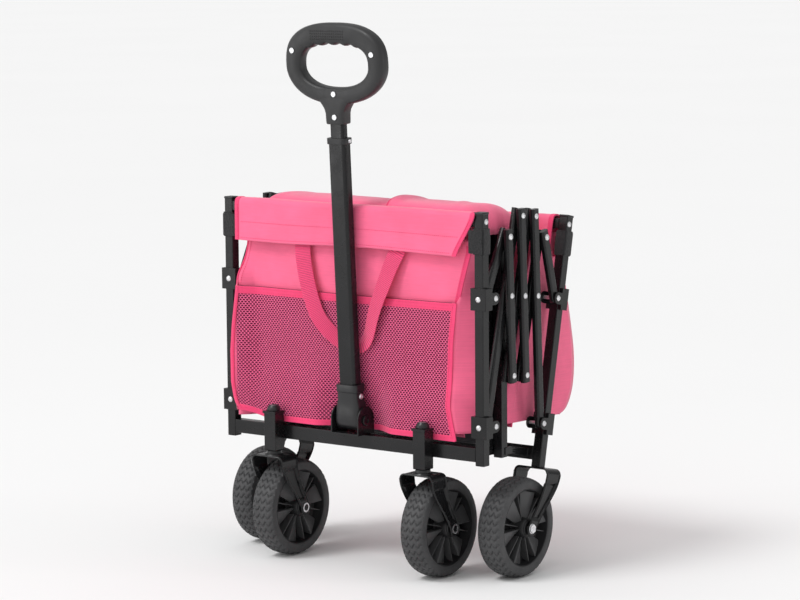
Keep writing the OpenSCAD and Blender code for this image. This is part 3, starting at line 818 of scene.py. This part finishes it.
def knuckle_mesh():
    """Moulded knuckle between the bracket's ears, narrowing up to the tube."""
    sections = [(-17.2, 24.0, 4.0), (-15.5, 25.2, 9.5), (-11.0, 25.5, 13.6),
                (-4.0, 25.5, 16.6), (4.0, 25.5, 16.8), (12.0, 25.3, 15.8), (20.0, 24.6, 14.2),
                (27.0, 23.2, 13.4), (33.0, 21.6, 13.1), (47.0, 20.8, 13.0), (48.2, 22.4, 14.2),
                (58.6, 22.6, 14.2), (59.8, 22.0, 13.6), (60.0, 20.6, 12.2)]
    rings = [[handle(a, b, z) for a, b in superellipse(x, y, 5.0, 40)]
             for z, x, y in sections]
    ob = loft("knuckle", rings, BLACK, "handle_arm")
    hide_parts("handle_knuckle")
    centre = handle(0, 0, 0)
    for s, tag in ((-1, "a"), (1, "b")):
        ring = [(29.2, 0.01), (29.2, 9.0), (30.6, 9.2), (32.0, 8.4), (32.5, 6.4), (32.4, 4.0),
                (31.0, 3.4), (31.0, 0.01)]
        revolve(f"tilt_pin_head_{tag}", ring, centre, STEEL, "handle_arm", 36,
                side=s)
    revolve("tilt_pin", [(-29.4, 0.01), (-29.4, 4.9), (29.4, 4.9), (29.4, 0.01)], centre,
            ZINC, "handle_arm", 24)
    head = [(0.0, 0.01), (0.0, 5.0), (0.9, 4.9), (1.9, 3.9), (2.4, 1.8), (1.6, 1.4), (1.4, 0.01)]
    revolve("knuckle_rivet", [(x + 21.0, r) for x, r in head], handle(0, 0.5, 40.0), ZINC,
            "handle_arm", 28)


grip_mesh()
knuckle_mesh()


# --- Front of the bag --------------------------------------------------------------

HEM_PROFILE = [(20.6, 558), (21.2, 600), (18.5, 608.5), (11.0, 611.2), (3.0, 611.0),
               (-2.0, 607.6), (-3.2, 600), (-3.2, 570), (-3.0, 541)]
HEM_LINE = curve_through(HEM_PROFILE, 60)
HEM_TALL = 141.0


def hem_edge(z):
    """The x range of the front hem at a height: straight on the left, slanted on the right."""
    up = (z - 541) / 62.0
    return -243.0, lerp(219.0, 254.5, smooth(up) * 0.35 + 0.65 * clamp(up))


def hem_shape(place, seed, slanted=True):
    """The hem over a top rail: v runs from behind the rail, over it and down the flap."""
    def shape(u, v):
        y, z = HEM_LINE[int(round(v * 59))]
        left, right = hem_edge(z if v > 0.35 else 600) if slanted else (-243.0, 243.0)
        x = lerp(left, right, u)
        hang = smooth((600 - z) / 60.0) if v > 0.5 else 0.0
        y += hang * (0.9 * ripple(x, z, seed) - 0.6)
        z += hang * (1.6 * math.sin(x / 62.0 + seed) - 1.0)
        z += 0.7 * ripple(x, 40.0, seed + 3) * (1 - hang)
        return place(x, y, z)
    return shape


def on_hem(place, shape, drop):
    """Points along the flap, drop mm above its bottom edge, just proud of it."""
    v = 1 - drop / HEM_TALL
    return [shape(u, v) + (place(0, -1, 0) - place(0, 0, 0)) * 0.8 for u in
            np.linspace(0.02, 0.975, 120)]


def edge_binding(name, place, shape, u, body):
    """Folded tape over one end of a hem, with its row of stitches."""
    inward = 1 if u < 0.5 else -1
    centres, acrosses = [], []
    for v in np.linspace(0.02, 1.0, 60):
        a = shape(u, v)
        b = shape(u + inward * 0.02, v)
        across = (b - a).normalized() * 4.5 * MM
        centres.append(a + across * 0.8)
        acrosses.append(across)
    ribbon(name, centres, acrosses, 2.9 * MM, BINDING, body)
    out = place(0, -1, 0) - place(0, 0, 0)
    stitches(name + "_stitch", [c + a * 0.55 + out * 1.7
                                for c, a in zip(centres[32:], acrosses[32:])], body)


def hem(end, place, seed, width):
    """The hem over one top rail, with two rows of stitches and a tape over each end."""
    shape, body = hem_shape(place, seed, slanted=end == "front"), f"{end}_frame"
    ob = cloth(f"{end}_hem", shape, (width, HEM_TALL), (120, 59), FABRIC, body,
               thick=1.3)
    if end == "front":
        settle(ob, lambda i, co: 1.0 if co.z > 0.585 or co.y > HOME * MM + 0.01 else 0.25, 1.5)
    for word, drop in (("low", 5.5), ("mid", 31.0)):
        stitches(f"{end}_hem_stitch_{word}", on_hem(place, shape, drop), body)
    edge_binding(f"{end}_hem_end_left", place, shape, 0.0, body)
    edge_binding(f"{end}_hem_end_right", place, shape, 1.0, body)
    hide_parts(f"{end}_panel")


hem("front", front, 1.0, 490)

# The panel hangs between the hem and the pocket, then runs down behind the pocket.
PANEL_LINE = curve_through([(12.0, 566), (11.0, 540), (12.0, 500), (15.0, 466), (19.0, 420),
                            (24.5, 340), (30.0, 262), (31.5, 237)], 60)
PANEL_TOP, PANEL_FOOT = 566.0, 237.0
POCKET_TOP, POCKET_TALL = 461.0, 227.0
POCKET_SIDES = np.array([(0.0, -242.5, 212.0), (0.12, -246.0, 210.0), (0.3, -252.0, 204.0),
                         (0.5, -256.0, 199.0), (0.75, -255.5, 199.0), (0.88, -250.5, 205.0),
                         (0.95, -246.0, 209.0), (1.0, -238.0, 211.0)])


def pocket_edge(t):
    """The pocket's left and right x, t from 0 at its top to 1 at its bottom."""
    return tuple(float(np.interp(t, POCKET_SIDES[:, 0], POCKET_SIDES[:, k])) for k in (1, 2))


def panel_edge(z):
    """The x range of the panel: its right edge runs in from the post to the pocket's side."""
    left = lerp(-227.0, -245.2, smooth((545 - z) / 90.0))
    if z < POCKET_TOP:
        return left, pocket_edge((POCKET_TOP - z) / POCKET_TALL)[1]
    return left, lerp(212.0, 239.0, min((z - POCKET_TOP) / 84.0, 1.0))


def panel_y(x, y, z):
    """The panel's depth: it swells forward round the pocket's top left corner."""
    return lerp(y, 0.8, smooth((-x - 212.0) / 32.0) * smooth((520 - z) / 45.0))


def panel_shape(u, v):
    y, z = PANEL_LINE[int(round(v * 59))]
    left, right = panel_edge(z)
    x = lerp(left, right, u)
    inside = math.sin(math.pi * clamp(u)) ** 0.6
    puff = 4.2 * inside * math.exp(-((z - 500) / 40.0) ** 2)
    wave = (1.9 * ripple(x, z, 5.0) + 1.6 * ripple(x * 1.9 + z, z * 0.7, 9.0)) * inside
    return front(x, panel_y(x, y, z) - puff - wave * smooth((z - 452) / 14.0), z)


front_panel = cloth("front_panel_cloth", panel_shape, (472, 338), (110, 59), FABRIC,
                    "front_frame", thick=1.2)


def panel_pin(i, co):
    x, z = co.x / MM, co.z / MM
    edge = min(x + 246, panel_edge(z)[1] - x, z - PANEL_FOOT, PANEL_TOP - z)
    return 1.0 if edge < 9 or z < 440 else 0.15


settle(front_panel, panel_pin, 4.0, pressure=0.6)

piping("panel_piping_left", [panel_shape(0.0, v) + step(0, -0.6, 0)
                             for v in np.linspace(0.06, 0.36, 40)], 1.5)
stitches("panel_piping_left_stitch", [panel_shape(0.016, v) + step(0, -0.9, 0)
                                      for v in np.linspace(0.08, 0.34, 60)], "front_frame")
line = [panel_shape(1.0, v) + step(-3.8, -0.8, 0) for v in np.linspace(0.04, 0.335, 60)]
tape("panel_right_binding", line, step(5, 0, 0))
stitches("panel_right_stitch", [p + step(-2.0, -1.3, 0) for p in line], "front_frame")

# --- Net pocket -------------------------------------------------------------------

POCKET_LINE = curve_through([(8.0, 461), (6.2, 440), (8.0, 400), (11.0, 370), (17.0, 325),
                             (22.5, 288), (26.0, 256), (28.6, 235)], 120)


def pocket_place(x, t, lift=0.0):
    """On the pocket, whose left side bulges forward past the post and whose corner lifts."""
    k = clamp(t) * 119
    i = min(int(k), 118)
    y, z = POCKET_LINE[i] + (POCKET_LINE[i + 1] - POCKET_LINE[i]) * (k - i)
    left, right = pocket_edge(t)
    u = (x - left) / (right - left)
    belly = math.sin(math.pi * clamp(u)) ** 0.5
    sag = 3.2 * math.sin(math.pi * min(t, 1.0)) * belly
    slack = 1.1 * math.sin(x / 38.0 + 1.0) * (1 - t) ** 2 * belly
    low = smooth((372 - z) / 90.0)
    y = lerp(y - sag - slack, 5.5, smooth((abs(x) - 34) / 52.0) * low)
    y = lerp(y, -4.6, smooth((-x - 196.0) / 50.0))
    corner = 15.0 * smooth((-x - 160.0) / 86.0) * t ** 6
    return front(x, y - lift, z - 1.5 * belly * (1 - t) ** 4 + corner)


def net_mesh():
    """Knitted net: a grid of staggered six-sided openings."""
    cell_w, cell_h, open_share = 6.1, 6.8, 0.77
    tall_rows = int(POCKET_TALL / (cell_h / 2)) + 1
    key, verts, faces = {}, [], []

    def vertex(x, s):
        k = (round(x * 4), round(s * 4))
        if k not in key:
            key[k] = len(verts)
            verts.append((x, s))
        return key[k]

    for row in range(tall_rows):
        s0 = row * cell_h * 0.5
        shift = cell_w / 2 if row % 2 else 0.0
        for col in range(int(480 / cell_w) + 2):
            cx = -262.0 + col * cell_w + shift
            left, right = pocket_edge(s0 / POCKET_TALL)
            if not left + 5 < cx < right - 3 or not 4.0 < s0 < POCKET_TALL - 3.0:
                continue
            ring = [(cx, s0 - cell_h / 3), (cx + cell_w / 2, s0 - cell_h / 6),
                    (cx + cell_w / 2, s0 + cell_h / 6), (cx, s0 + cell_h / 3),
                    (cx - cell_w / 2, s0 + cell_h / 6), (cx - cell_w / 2, s0 - cell_h / 6)]
            outer = [vertex(x, s) for x, s in ring]
            inner = []
            for x, s in ring:
                inner.append(len(verts))
                verts.append((lerp(cx, x, open_share), lerp(s0, s, open_share)))
            for k in range(6):
                n = (k + 1) % 6
                faces.append((outer[k], outer[n], inner[n], inner[k]))
    places = [pocket_place(x, s / POCKET_TALL) for x, s in verts]
    uvs = [(x * MM, s * MM) for x, s in verts]
    ob = add_mesh("pocket_net", places, faces, NET, "front_frame", uvs, 60)
    thicken(ob, 0.5)
    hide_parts("front_pocket")


net_mesh()
# A dark sheet just behind the net: painted shade for the panel seen through the net's openings.
cloth("pocket_shade_sheet", lambda u, v: pocket_place(lerp(*pocket_edge(v), u), v, -2.4),
      (462, 227), (80, 50), woven("pocket_shadow", (0.15, 0.003, 0.034), 0.0012, 0.0001, 0.8,
                                  sheen=0.1),
      "front_frame", thick=0.8)


top_line = [pocket_place(x, 0.03, 0.6) for x in np.linspace(*pocket_edge(0.03), 90)]
tape("pocket_top_binding", top_line, step(0, 0, 6.5))
stitches("pocket_top_binding_stitch", [p + step(0, -1.3, -2.6) for p in top_line], "front_frame")
stitches("pocket_top_stitch_b", [p + step(0, -1.3, 3.0) for p in top_line], "front_frame")
for word, side, width in (("left", 0, 3.6), ("right", 1, 5.0)):
    inward = 1 if side == 0 else -1
    line = [pocket_place(pocket_edge(t)[side] + inward * width * 0.8, t, 0.7)
            for t in np.linspace(0.0, 1.0, 60)]
    tape(f"pocket_{word}_binding", line, step(width, 0, 0))
    stitches(f"pocket_{word}_binding_stitch",
             [p + step(inward * width * 0.4, -1.3, 0) for p in line], "front_frame")
bottom = [pocket_place(x, 0.985, 0.7) for x in np.linspace(*pocket_edge(0.985), 90)]
tape("pocket_bottom_binding", bottom, step(0, 0.8, 4.8))
stitches("pocket_bottom_binding_stitch", [p + step(0, -1.3, 1.0) for p in bottom], "front_frame")


def gusset_shape(sign):
    """Side of the bag that turns in from the pocket's or panel's edge to the side wall."""
    def shape(u, v):
        z = lerp(596, 246, v)
        depth = PANEL_LINE[int(round(clamp((PANEL_TOP - z) / (PANEL_TOP - PANEL_FOOT)) * 59))][0]
        low = smooth((476 - z) / 16.0)
        t = clamp((POCKET_TOP - z) / POCKET_TALL)
        start, right = panel_edge(z)
        if sign < 0:
            edge = pocket_edge(t)[0]
            path = [(lerp(start, edge + 1.5, low), lerp(panel_y(start, depth, z), -3.6, low)),
                    (lerp(start - 1.5, -245.4, low), lerp(24.0, -2.6, low)),
                    (lerp(-236.4, -245.2, smooth((520 - z) / 40.0)), 26.0), (-236.5, 56.0)]
        else:
            near = pocket_place(right, t).y / MM - HOME
            path = [(right, lerp(depth, near, low)), (235.0, 38.0), (236.5, 46.0), (236.5, 56.0)]
        k = min(int(u * 3), 2)
        a, b = path[k], path[k + 1]
        x, y = (lerp(a[i], b[i], u * 3 - k) for i in (0, 1))
        return front(x, y + 0.8 * math.sin(z / 34.0) * math.sin(math.pi * u), z)
    return shape


for word, sign in SIDES:
    cloth(f"{word}_gusset", gusset_shape(sign), (52, 350), (18, 60), FABRIC,
          "front_frame", thick=1.2)

# --- Carry straps -------------------------------------------------------------------

def carry_strap(name, points, widths, twist):
    """One side of a webbing handle, through (x, y, z) points in front coordinates."""
    line = curve_through(points, 70)
    centres, acrosses = [], []
    for i, p in enumerate(line):
        a, b = line[max(i - 1, 0)], line[min(i + 1, 69)]
        t = Vector(b - a).normalized()
        face = Vector((math.sin(twist * i / 69), -math.cos(twist * i / 69), 0.0))
        across = t.cross(face).normalized() * lerp(*widths, i / 69) / 2 * MM
        centres.append(front(*p))
        acrosses.append(across)
    return ribbon(name, centres, acrosses, 1.9 * MM, WEBBING, "front_frame",
                  power=5.0)


strap_left = carry_strap("carry_strap_left", [
    (-101, 8, 560), (-101, 2, 542), (-99, -1, 521), (-90, -2.5, 479), (-78, -2.5, 442),
    (-66, -2, 417), (-51, 1, 400), (-35, 5.5, 386), (-20, 7.2, 378), (-4, 7.4, 374)],
    (33.0, 27.0), 0.25)
carry_strap("carry_strap_right", [
    (101, 8, 560), (99, 2, 542), (88, -1, 521), (74, -2.5, 488), (58, -2.5, 455), (48, -2, 428),
    (41, 0, 405), (32, 4.5, 388), (19, 7.2, 377), (2, 7.6, 374)], (32.0, 26.0), -0.35)
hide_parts("front_straps")

# --- Hook-and-loop tabs and post caps -------------------------------------------------

def post_tab(name, place, sign, body):
    """Band of hook-and-loop round a post top, its end lapped over itself."""
    rings = []
    for i in range(41):
        s = i / 40
        z = lerp(543.5, 585.0, s)
        grow = 1.0 + 0.05 * math.sin(s * 9.0)
        flare = 0.8 * math.sin(math.pi * s)
        ring = []
        for a, b in superellipse(10.6 + flare * grow, 10.6 + flare * grow, 7.0, 40):
            ring.append(place(sign * POST_X + a, TUBE / 2 + b, z))
        rings.append(ring)
    band = loft(name, rings, HOOK, body)
    lap = [place(sign * (POST_X - x), y, 564) for x, y in
           [(-9, -2.9), (0, -3.2), (8, -3.4), (13, -3.6), (17, -3.2)]]
    ribbon(name + "_lap", lap, [place(0, 0, 19) - place(0, 0, 0) for _ in lap], 1.8 * MM,
           HOOK, body)
    return band


for word, sign in SIDES:
    post_tab(f"front_{word}_tab", front, sign, "front_frame")
    tab = post_tab(f"rear_{word}_tab", rear_face, sign, "rear_frame")
    if sign > 0:
        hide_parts("rear_straps")
    for name, place, body in ((f"front_{word}_cap", front, "front_frame"),
                              (f"rear_{word}_cap", rear_face, "rear_frame")):
        box_mesh(name, (sign * POST_X - 9.2, -0.7, POST_TOP - 1.5),
                 (sign * POST_X + 9.2, TUBE + 0.7, POST_TOP + 2.6), place, 1.4, BLACK, body)

# --- Rear of the bag ----------------------------------------------------------------

hem("rear", rear_face, 4.0, 486)

BACK_LINE = curve_through([(264, 556), (276, 520), (298, 440), (314, 370), (317.5, 330),
                           (314, 288), (298, 256), (274, 246)], 80)


def back_shape(u, v):
    y, z = BACK_LINE[int(round(v * 79))]
    x = lerp(-237.0, 237.0, u)
    inside = math.sin(math.pi * u) ** 0.5
    folds = 5.0 * math.sin(x / 26.0 + z / 70.0) * smooth((500 - z) / 160.0) * inside
    return front(x, y - 6.0 * (1 - inside) - abs(folds) * 0.7 - 1.0 * ripple(x, z, 2.0),
                 z + 0.8 * ripple(x, z, 6.0))


rear_back = cloth("rear_back_cloth", back_shape, (474, 345), (110, 79), FABRIC, "rear_frame",
                  thick=1.3)
settle(rear_back, lambda i, co: 1.0 if co.z > 0.52 or co.z < 0.262 or abs(co.x) > 0.225
       else 0.2, 6.0)
REAR_BACK = (rear(0, 1, 0) - rear(0, 0, 0)).normalized()


def flatten_back(piece, y=12.0):
    """Gives a piece its own copy of its mesh; the point at y on the rear frame is worked out and
    not used.
    """
    tuple(rear(0, y, 0))
    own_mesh(piece)


flatten_back(rear_back)


def back_side_shape(sign):
    """Side of the bulging back, from its edge in towards the rear frame."""
    def shape(u, v):
        y, z = BACK_LINE[int(round(v * 79))]
        inner_y = lerp(192.0, 96.0, min((556 - z) / 300.0, 1.0))
        yy = lerp(y - 6.0, inner_y, u)
        x = sign * (236.6 + 1.3 * math.sin(math.pi * u) * math.sin(z / 31.0 + sign))
        return front(x, yy, z + 5.0 * u)
    return shape


for word, sign in SIDES:
    ob = cloth(f"rear_{word}_side", back_side_shape(sign), (140, 345), (24, 79), FABRIC,
               "rear_frame", thick=1.2)
    flatten_back(ob)
    seam = [back_shape(0.003 if sign < 0 else 0.997, v) for v in np.linspace(0.05, 0.98, 60)]
    flatten_back(piping(f"rear_{word}_piping", seam, 1.7, "rear_frame"))

# --- Folding side walls ---------------------------------------------------------------

WALL_LOW, WALL_HIGH = 255.0, 600.0


def side_wall(body, place, sign, y0, length, seed):
    """One half of a side wall: a quilt-soft panel with hems, stitches and end bindings."""
    name = body + "_cloth"

    def at(s, z, d=0.0):
        """s from the hinge inward, z up, d off the wall's face."""
        return place(sign * (237.0 - s), y0 + d, z)

    def shape(u, v):
        s, z = lerp(0.0, length, u), lerp(WALL_HIGH, WALL_LOW, v)
        inside = math.sin(math.pi * u) ** 0.5 * math.sin(math.pi * v) ** 0.5
        return at(s, z, 1.2 * ripple(s, z, seed) * inside)
    ob = cloth(name, shape, (length, WALL_HIGH - WALL_LOW), (60, 56), FABRIC, body,
               thick=1.2)
    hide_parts(body)
    top, low = ([shape(u, v) for u in np.linspace(0, 1, 50)] for v in (0.0, 1.0))
    down, off = at(0, WALL_HIGH - 16) - at(0, WALL_HIGH), at(0, 0, 1) - at(0, 0, 0)
    ribbon(name + "_hem", [p + down * 0.9 for p in top], [down] * 50, 3.0 * MM, FABRIC, body)
    piping(name + "_edge", [p + step(0, 0, 1) for p in top], 1.6, body)
    for tag, side in (("a", -1), ("b", 1)):
        row = [shape(u, 0.0) + down * 1.72 + off * 1.6 * side for u in np.linspace(0.01, 0.99, 50)]
        stitches(f"{name}_hem_stitch_{tag}", row, body)
    tape(name + "_foot", low, down * 0.35, body, 2.6)


def rear_wall_place(x, y, z):
    """The rear walls' tops are level with the front ones when the wagon is open."""
    return rear(x, y, z - 14.0 - REAR_LOW[1])


for word, sign, y_front, y_rear, length in (("right", 1, 59.5, -35.5, 369.0),
                                            ("left", -1, 65.5, -42.5, 362.5)):
    side_wall(f"{word}_front_wall", front, sign, y_front, length, 2.0 + sign)
    side_wall(f"{word}_rear_wall", rear_wall_place, sign, y_rear, length, 6.0 + sign)

# The walls' slack lies gathered across the top when folded. The right side's fold lies
# over the left side's.


def top_fold(name, body, rows, x0, x1, seed, start=0.0):
    """Puffed fold of cloth: rows of (y, z) give its section, x0..x1 its run; start lifts x0.

    Its far end rounds off and slopes down between the scissor bars and the frame."""
    line = curve_through(rows, 48)
    sign = math.copysign(1.0, x1)

    def shape(u, v):
        y, z = line[int(round(v * 47))]
        x = lerp(x0, x1, u)
        over = math.sin(math.pi * v) ** 0.7
        near_end = max(0.0, 1 - abs(x1 - x) / 34.0)
        sink = 1 - math.sqrt(max(1 - near_end ** 2.4, 0.0))
        z = lerp(z, 566.0, 0.96 * sink)
        y = lerp(y, lerp(line[0][0], line[47][0], v), 0.6 * sink)
        wrinkle = (1.3 * ripple(x, y * 1.4, seed)
                   + 1.6 * math.exp(-((x * sign - 205 + y * 0.4) / 9.0) ** 2)) * over * (1 - sink)
        lift = start * math.exp(-((u - 0.03) / 0.06) ** 2) * over
        return front(x, y, z + wrinkle + lift)
    ob = cloth(name, shape, (abs(x1 - x0) + 25, sum(
        math.dist(a, b) for a, b in zip(line, line[1:]))), (100, 47), FABRIC, body,
        thick=1.3)
    settle(ob, lambda i, co: 0.9, 2.0)
    parts = [ob]
    if start:
        # The binding-coloured cord along the lifted end darkens the line where this fold lies over
        # the other: painted shade standing in for the shadow there.
        end = [shape(0.0, v) for v in np.linspace(0.14, 0.88, 50)]
        parts.append(piping(name + "_edge", end, 1.7, body))
    for part in parts:
        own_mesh(part)


LEFT_ROWS = [(27, 560), (27, 594), (34, 610), (52, 616), (80, 617), (110, 613), (134, 604),
             (142, 588), (143, 560)]
RIGHT_ROWS = [(24.5, 566), (24.5, 600), (31, 613), (50, 618), (82, 618), (118, 613), (144, 604),
              (154, 588), (156, 566)]
top_fold("left_top_fold", "left_front_wall", LEFT_ROWS, 121.0, -222.0, 3.0)
top_fold("right_top_fold", "right_front_wall", RIGHT_ROWS, 57.0, 236.0, 8.0, start=5.0)


def rear_fold(name, body, anchor_y, x0, x1, seed):
    """Slack of a rear wall half, gathered low down in front of the rear frame."""
    rows = [(-12, 270), (-10, 306), (-20, 328), (-40, 338), (-60, 334), (-70, 318), (-72, 280)]
    line = curve_through(rows, 40)

    def shape(u, v):
        y, z = line[int(round(v * 39))]
        x = lerp(x0, x1, u)
        return rear(x, y, z + 1.5 * ripple(x, y * 1.5, seed) * math.sin(math.pi * v))
    ob = cloth(name, shape, (abs(x1 - x0), 178), (70, 39), FABRIC, body,
               thick=1.3)
    flatten_back(ob, anchor_y)


rear_fold("right_rear_fold", "right_rear_wall", -35.5, -60.0, 232.0, 5.0)
rear_fold("left_rear_fold", "left_rear_wall", -42.5, 60.0, -232.0, 7.0)

# --- Floor ------------------------------------------------------------------------------

def floor_pad(name, place, middle, body, node):
    """Stiffened floor half: a stuffed pad with four sewn channels, its middle at y = middle."""
    half_w, thick, low, reach = 204.0, 7.0, 8.0, 352.0
    nu, nv = 96, 80
    verts, uvs = [], []
    for layer in (1, -1):
        for j in range(nv + 1):
            for i in range(nu + 1):
                x, z = lerp(-half_w, half_w, i / nu), lerp(low, reach, j / nv)
                rim = min(half_w - abs(x), z - low, reach - z)
                fill = smooth(rim / 7.0) ** 0.5
                for seam in (0.25, 0.5, 0.75):
                    off = abs(z - lerp(low, reach, seam))
                    fill *= 0.35 + 0.65 * smooth(off / 8.0)
                bulge = 0.4 + (thick / 2 - 0.4) * fill
                verts.append(place(x, middle + layer * bulge, z))
                uvs.append((x * MM, z * MM))
    row, size = nu + 1, (nu + 1) * (nv + 1)
    faces = []
    for j in range(nv):
        for i in range(nu):
            a = j * row + i
            faces.append((a, a + 1, a + row + 1, a + row))
            faces.append((size + a, size + a + row, size + a + row + 1, size + a + 1))
    edge = ([j * row for j in range(nv, 0, -1)] + list(range(nu))
            + [j * row + nu for j in range(nv)] + [nv * row + i for i in range(nu, 0, -1)])
    for a, b in zip(edge, edge[1:] + edge[:1]):
        faces.append((a, b, size + b, size + a))
    ob = outward(add_mesh(name, verts, faces, FLOOR_CLOTH, body, uvs, 60))
    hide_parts(node)
    for k, seam in enumerate((0.25, 0.5, 0.75)):
        z = lerp(low, reach, seam)
        for side in (1, -1):
            row_pts = [place(x, middle + side * 1.75, z)
                       for x in np.linspace(-half_w + 8, half_w - 8, 50)]
            stitches(f"{name}_seam_{k}{'a' if side > 0 else 'b'}", row_pts, body, DARK_STITCH)
    rim_pts = []
    corners = [(-half_w, low), (half_w, low), (half_w, reach), (-half_w, reach), (-half_w, low)]
    for (xa, za), (xb, zb) in zip(corners, corners[1:]):
        rim_pts += [place(lerp(xa, xb, t), middle, lerp(za, zb, t))
                    for t in np.linspace(0, 0.98, 40)]
    cord_piece(name + "_piping", rim_pts, 1.7 * MM, FLOOR_CLOTH, body)


def rear_floor_place(x, y, z):
    base = rear(0, -44.0, -50.0)
    return base + Vector((x, y, z)) * MM


floor_pad("front_floor_pad", lambda x, y, z: front(x, 71.0 + y, 212.0 + z), 7.5,
          "front_floor_half", "front_floor")
floor_pad("rear_floor_pad", rear_floor_place, -7.5, "rear_floor_half", "rear_floor")

# --- Rivet heads of the links' top ends ---------------------------------------------------

def rivet_head(name, centre, sign, body):
    dome = [(0.0, 5.4), (0.7, 5.3), (1.9, 4.3), (2.7, 2.7), (2.9, 1.6), (1.9, 1.4), (1.8, 0.01),
            (-0.2, 0.01), (-0.2, 5.4)]
    return revolve(name, dome, centre, ZINC, body, 32, side=sign)


TOP_1 = (75.4, 566.4)
for word, sign in SIDES:
    rivet_head(f"{word}_front_link_rivet", front(sign * (POST_X + 10.5), *TOP_1), sign,
               "front_cross")
    low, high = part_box("rear_short_links")
    rivet_head(f"{word}_rear_link_rivet",
               Vector((sign * (POST_X + 10.5) * MM, low.y + 0.0125, high.z - 0.0135)), sign,
               "rear_short")

# --- Floor, light and camera ----------------------------------------------------------

def stage_floor():
    me = bpy.data.meshes.new("studio_floor")
    r = 90.0
    me.from_pydata([(-r, -r, 0), (r, -r, 0), (r, r, 0), (-r, r, 0)], [], [(0, 1, 2, 3)])
    ob = bpy.data.objects.new("studio_floor", me)
    bpy.context.scene.collection.objects.link(ob)
    m = Material("studio_floor", (0.87, 0.87, 0.87), 0.9, Specular_IOR_Level=0.0)
    p = m.coords()
    m.tint(m.ramp(m.noise(p, 0.6), 0, 1), (0.866, 0.866, 0.866), (0.874, 0.874, 0.874))
    me.materials.append(m.mat)


def area_light(name, place, target, size, power):
    light = bpy.data.lights.new(name, "AREA")
    light.shape = "RECTANGLE"
    light.size, light.size_y = size
    light.energy = power
    ob = bpy.data.objects.new(name, light)
    ob.location = place
    ob.rotation_euler = (Vector(target) - Vector(place)).to_track_quat("-Z", "Y").to_euler()
    bpy.context.scene.collection.objects.link(ob)


def studio_world():
    """A bright surround, brighter from the front left and above."""
    world = bpy.data.worlds.new("studio")
    world.use_nodes = True
    tree = world.node_tree
    back = tree.nodes["Background"]
    back.inputs[0].default_value = (1.0, 1.0, 1.0, 1)
    where = tree.nodes.new("ShaderNodeTexCoord")
    facing = tree.nodes.new("ShaderNodeVectorMath")
    facing.operation = "DOT_PRODUCT"
    facing.inputs[1].default_value = (-0.47, -0.78, 0.41)
    level = tree.nodes.new("ShaderNodeMapRange")
    level.inputs["From Min"].default_value = -1.0
    level.inputs["To Min"].default_value = 0.30
    level.inputs["To Max"].default_value = 1.00
    tree.links.new(where.outputs["Generated"], facing.inputs[0])
    tree.links.new(facing.outputs["Value"], level.inputs["Value"])
    tree.links.new(level.outputs["Result"], back.inputs[1])
    bpy.context.scene.world = world


def sun(direction, angle, power):
    light = bpy.data.lights.new("sun", "SUN")
    light.energy, light.angle = power, math.radians(angle)
    ob = bpy.data.objects.new("sun", light)
    ob.rotation_euler = Vector(direction).to_track_quat("-Z", "Y").to_euler()
    bpy.context.scene.collection.objects.link(ob)


stage_floor()
studio_world()
sun((0.30, 0.70, -0.95), 20.0, 1.25)
area_light("strip_left", (-1.9, -2.4, 1.1), (0, 0, 0.4), (0.25, 2.0), 9.0)
area_light("strip_right", (2.6, 0.9, 1.1), (0, 0, 0.4), (0.25, 2.0), 7.0)
bpy.context.scene.view_settings.view_transform = "Standard"

AZIMUTH, ELEVATION, ROLL = math.radians(37.0), math.radians(7.31), math.radians(-0.46)
back_dir = Vector((math.sin(AZIMUTH) * math.cos(ELEVATION),
                   -math.cos(AZIMUTH) * math.cos(ELEVATION), math.sin(ELEVATION)))
right_dir = Vector((math.cos(AZIMUTH), math.sin(AZIMUTH), 0))
up_dir = back_dir.cross(right_dir)
cam_right = right_dir * math.cos(ROLL) + up_dir * math.sin(ROLL)
cam_up = up_dir * math.cos(ROLL) - right_dir * math.sin(ROLL)
camera = bpy.data.objects.new("camera", bpy.data.cameras.new("camera"))
camera.data.lens = 135.0
camera.data.sensor_width = 36.0
camera.matrix_world = Matrix.Translation((3.0358, -4.0257, 1.0845)) @ Matrix((
    (cam_right.x, cam_up.x, back_dir.x, 0), (cam_right.y, cam_up.y, back_dir.y, 0),
    (cam_right.z, cam_up.z, back_dir.z, 0), (0, 0, 0, 1)))
bpy.context.scene.collection.objects.link(camera)
bpy.context.scene.camera = camera
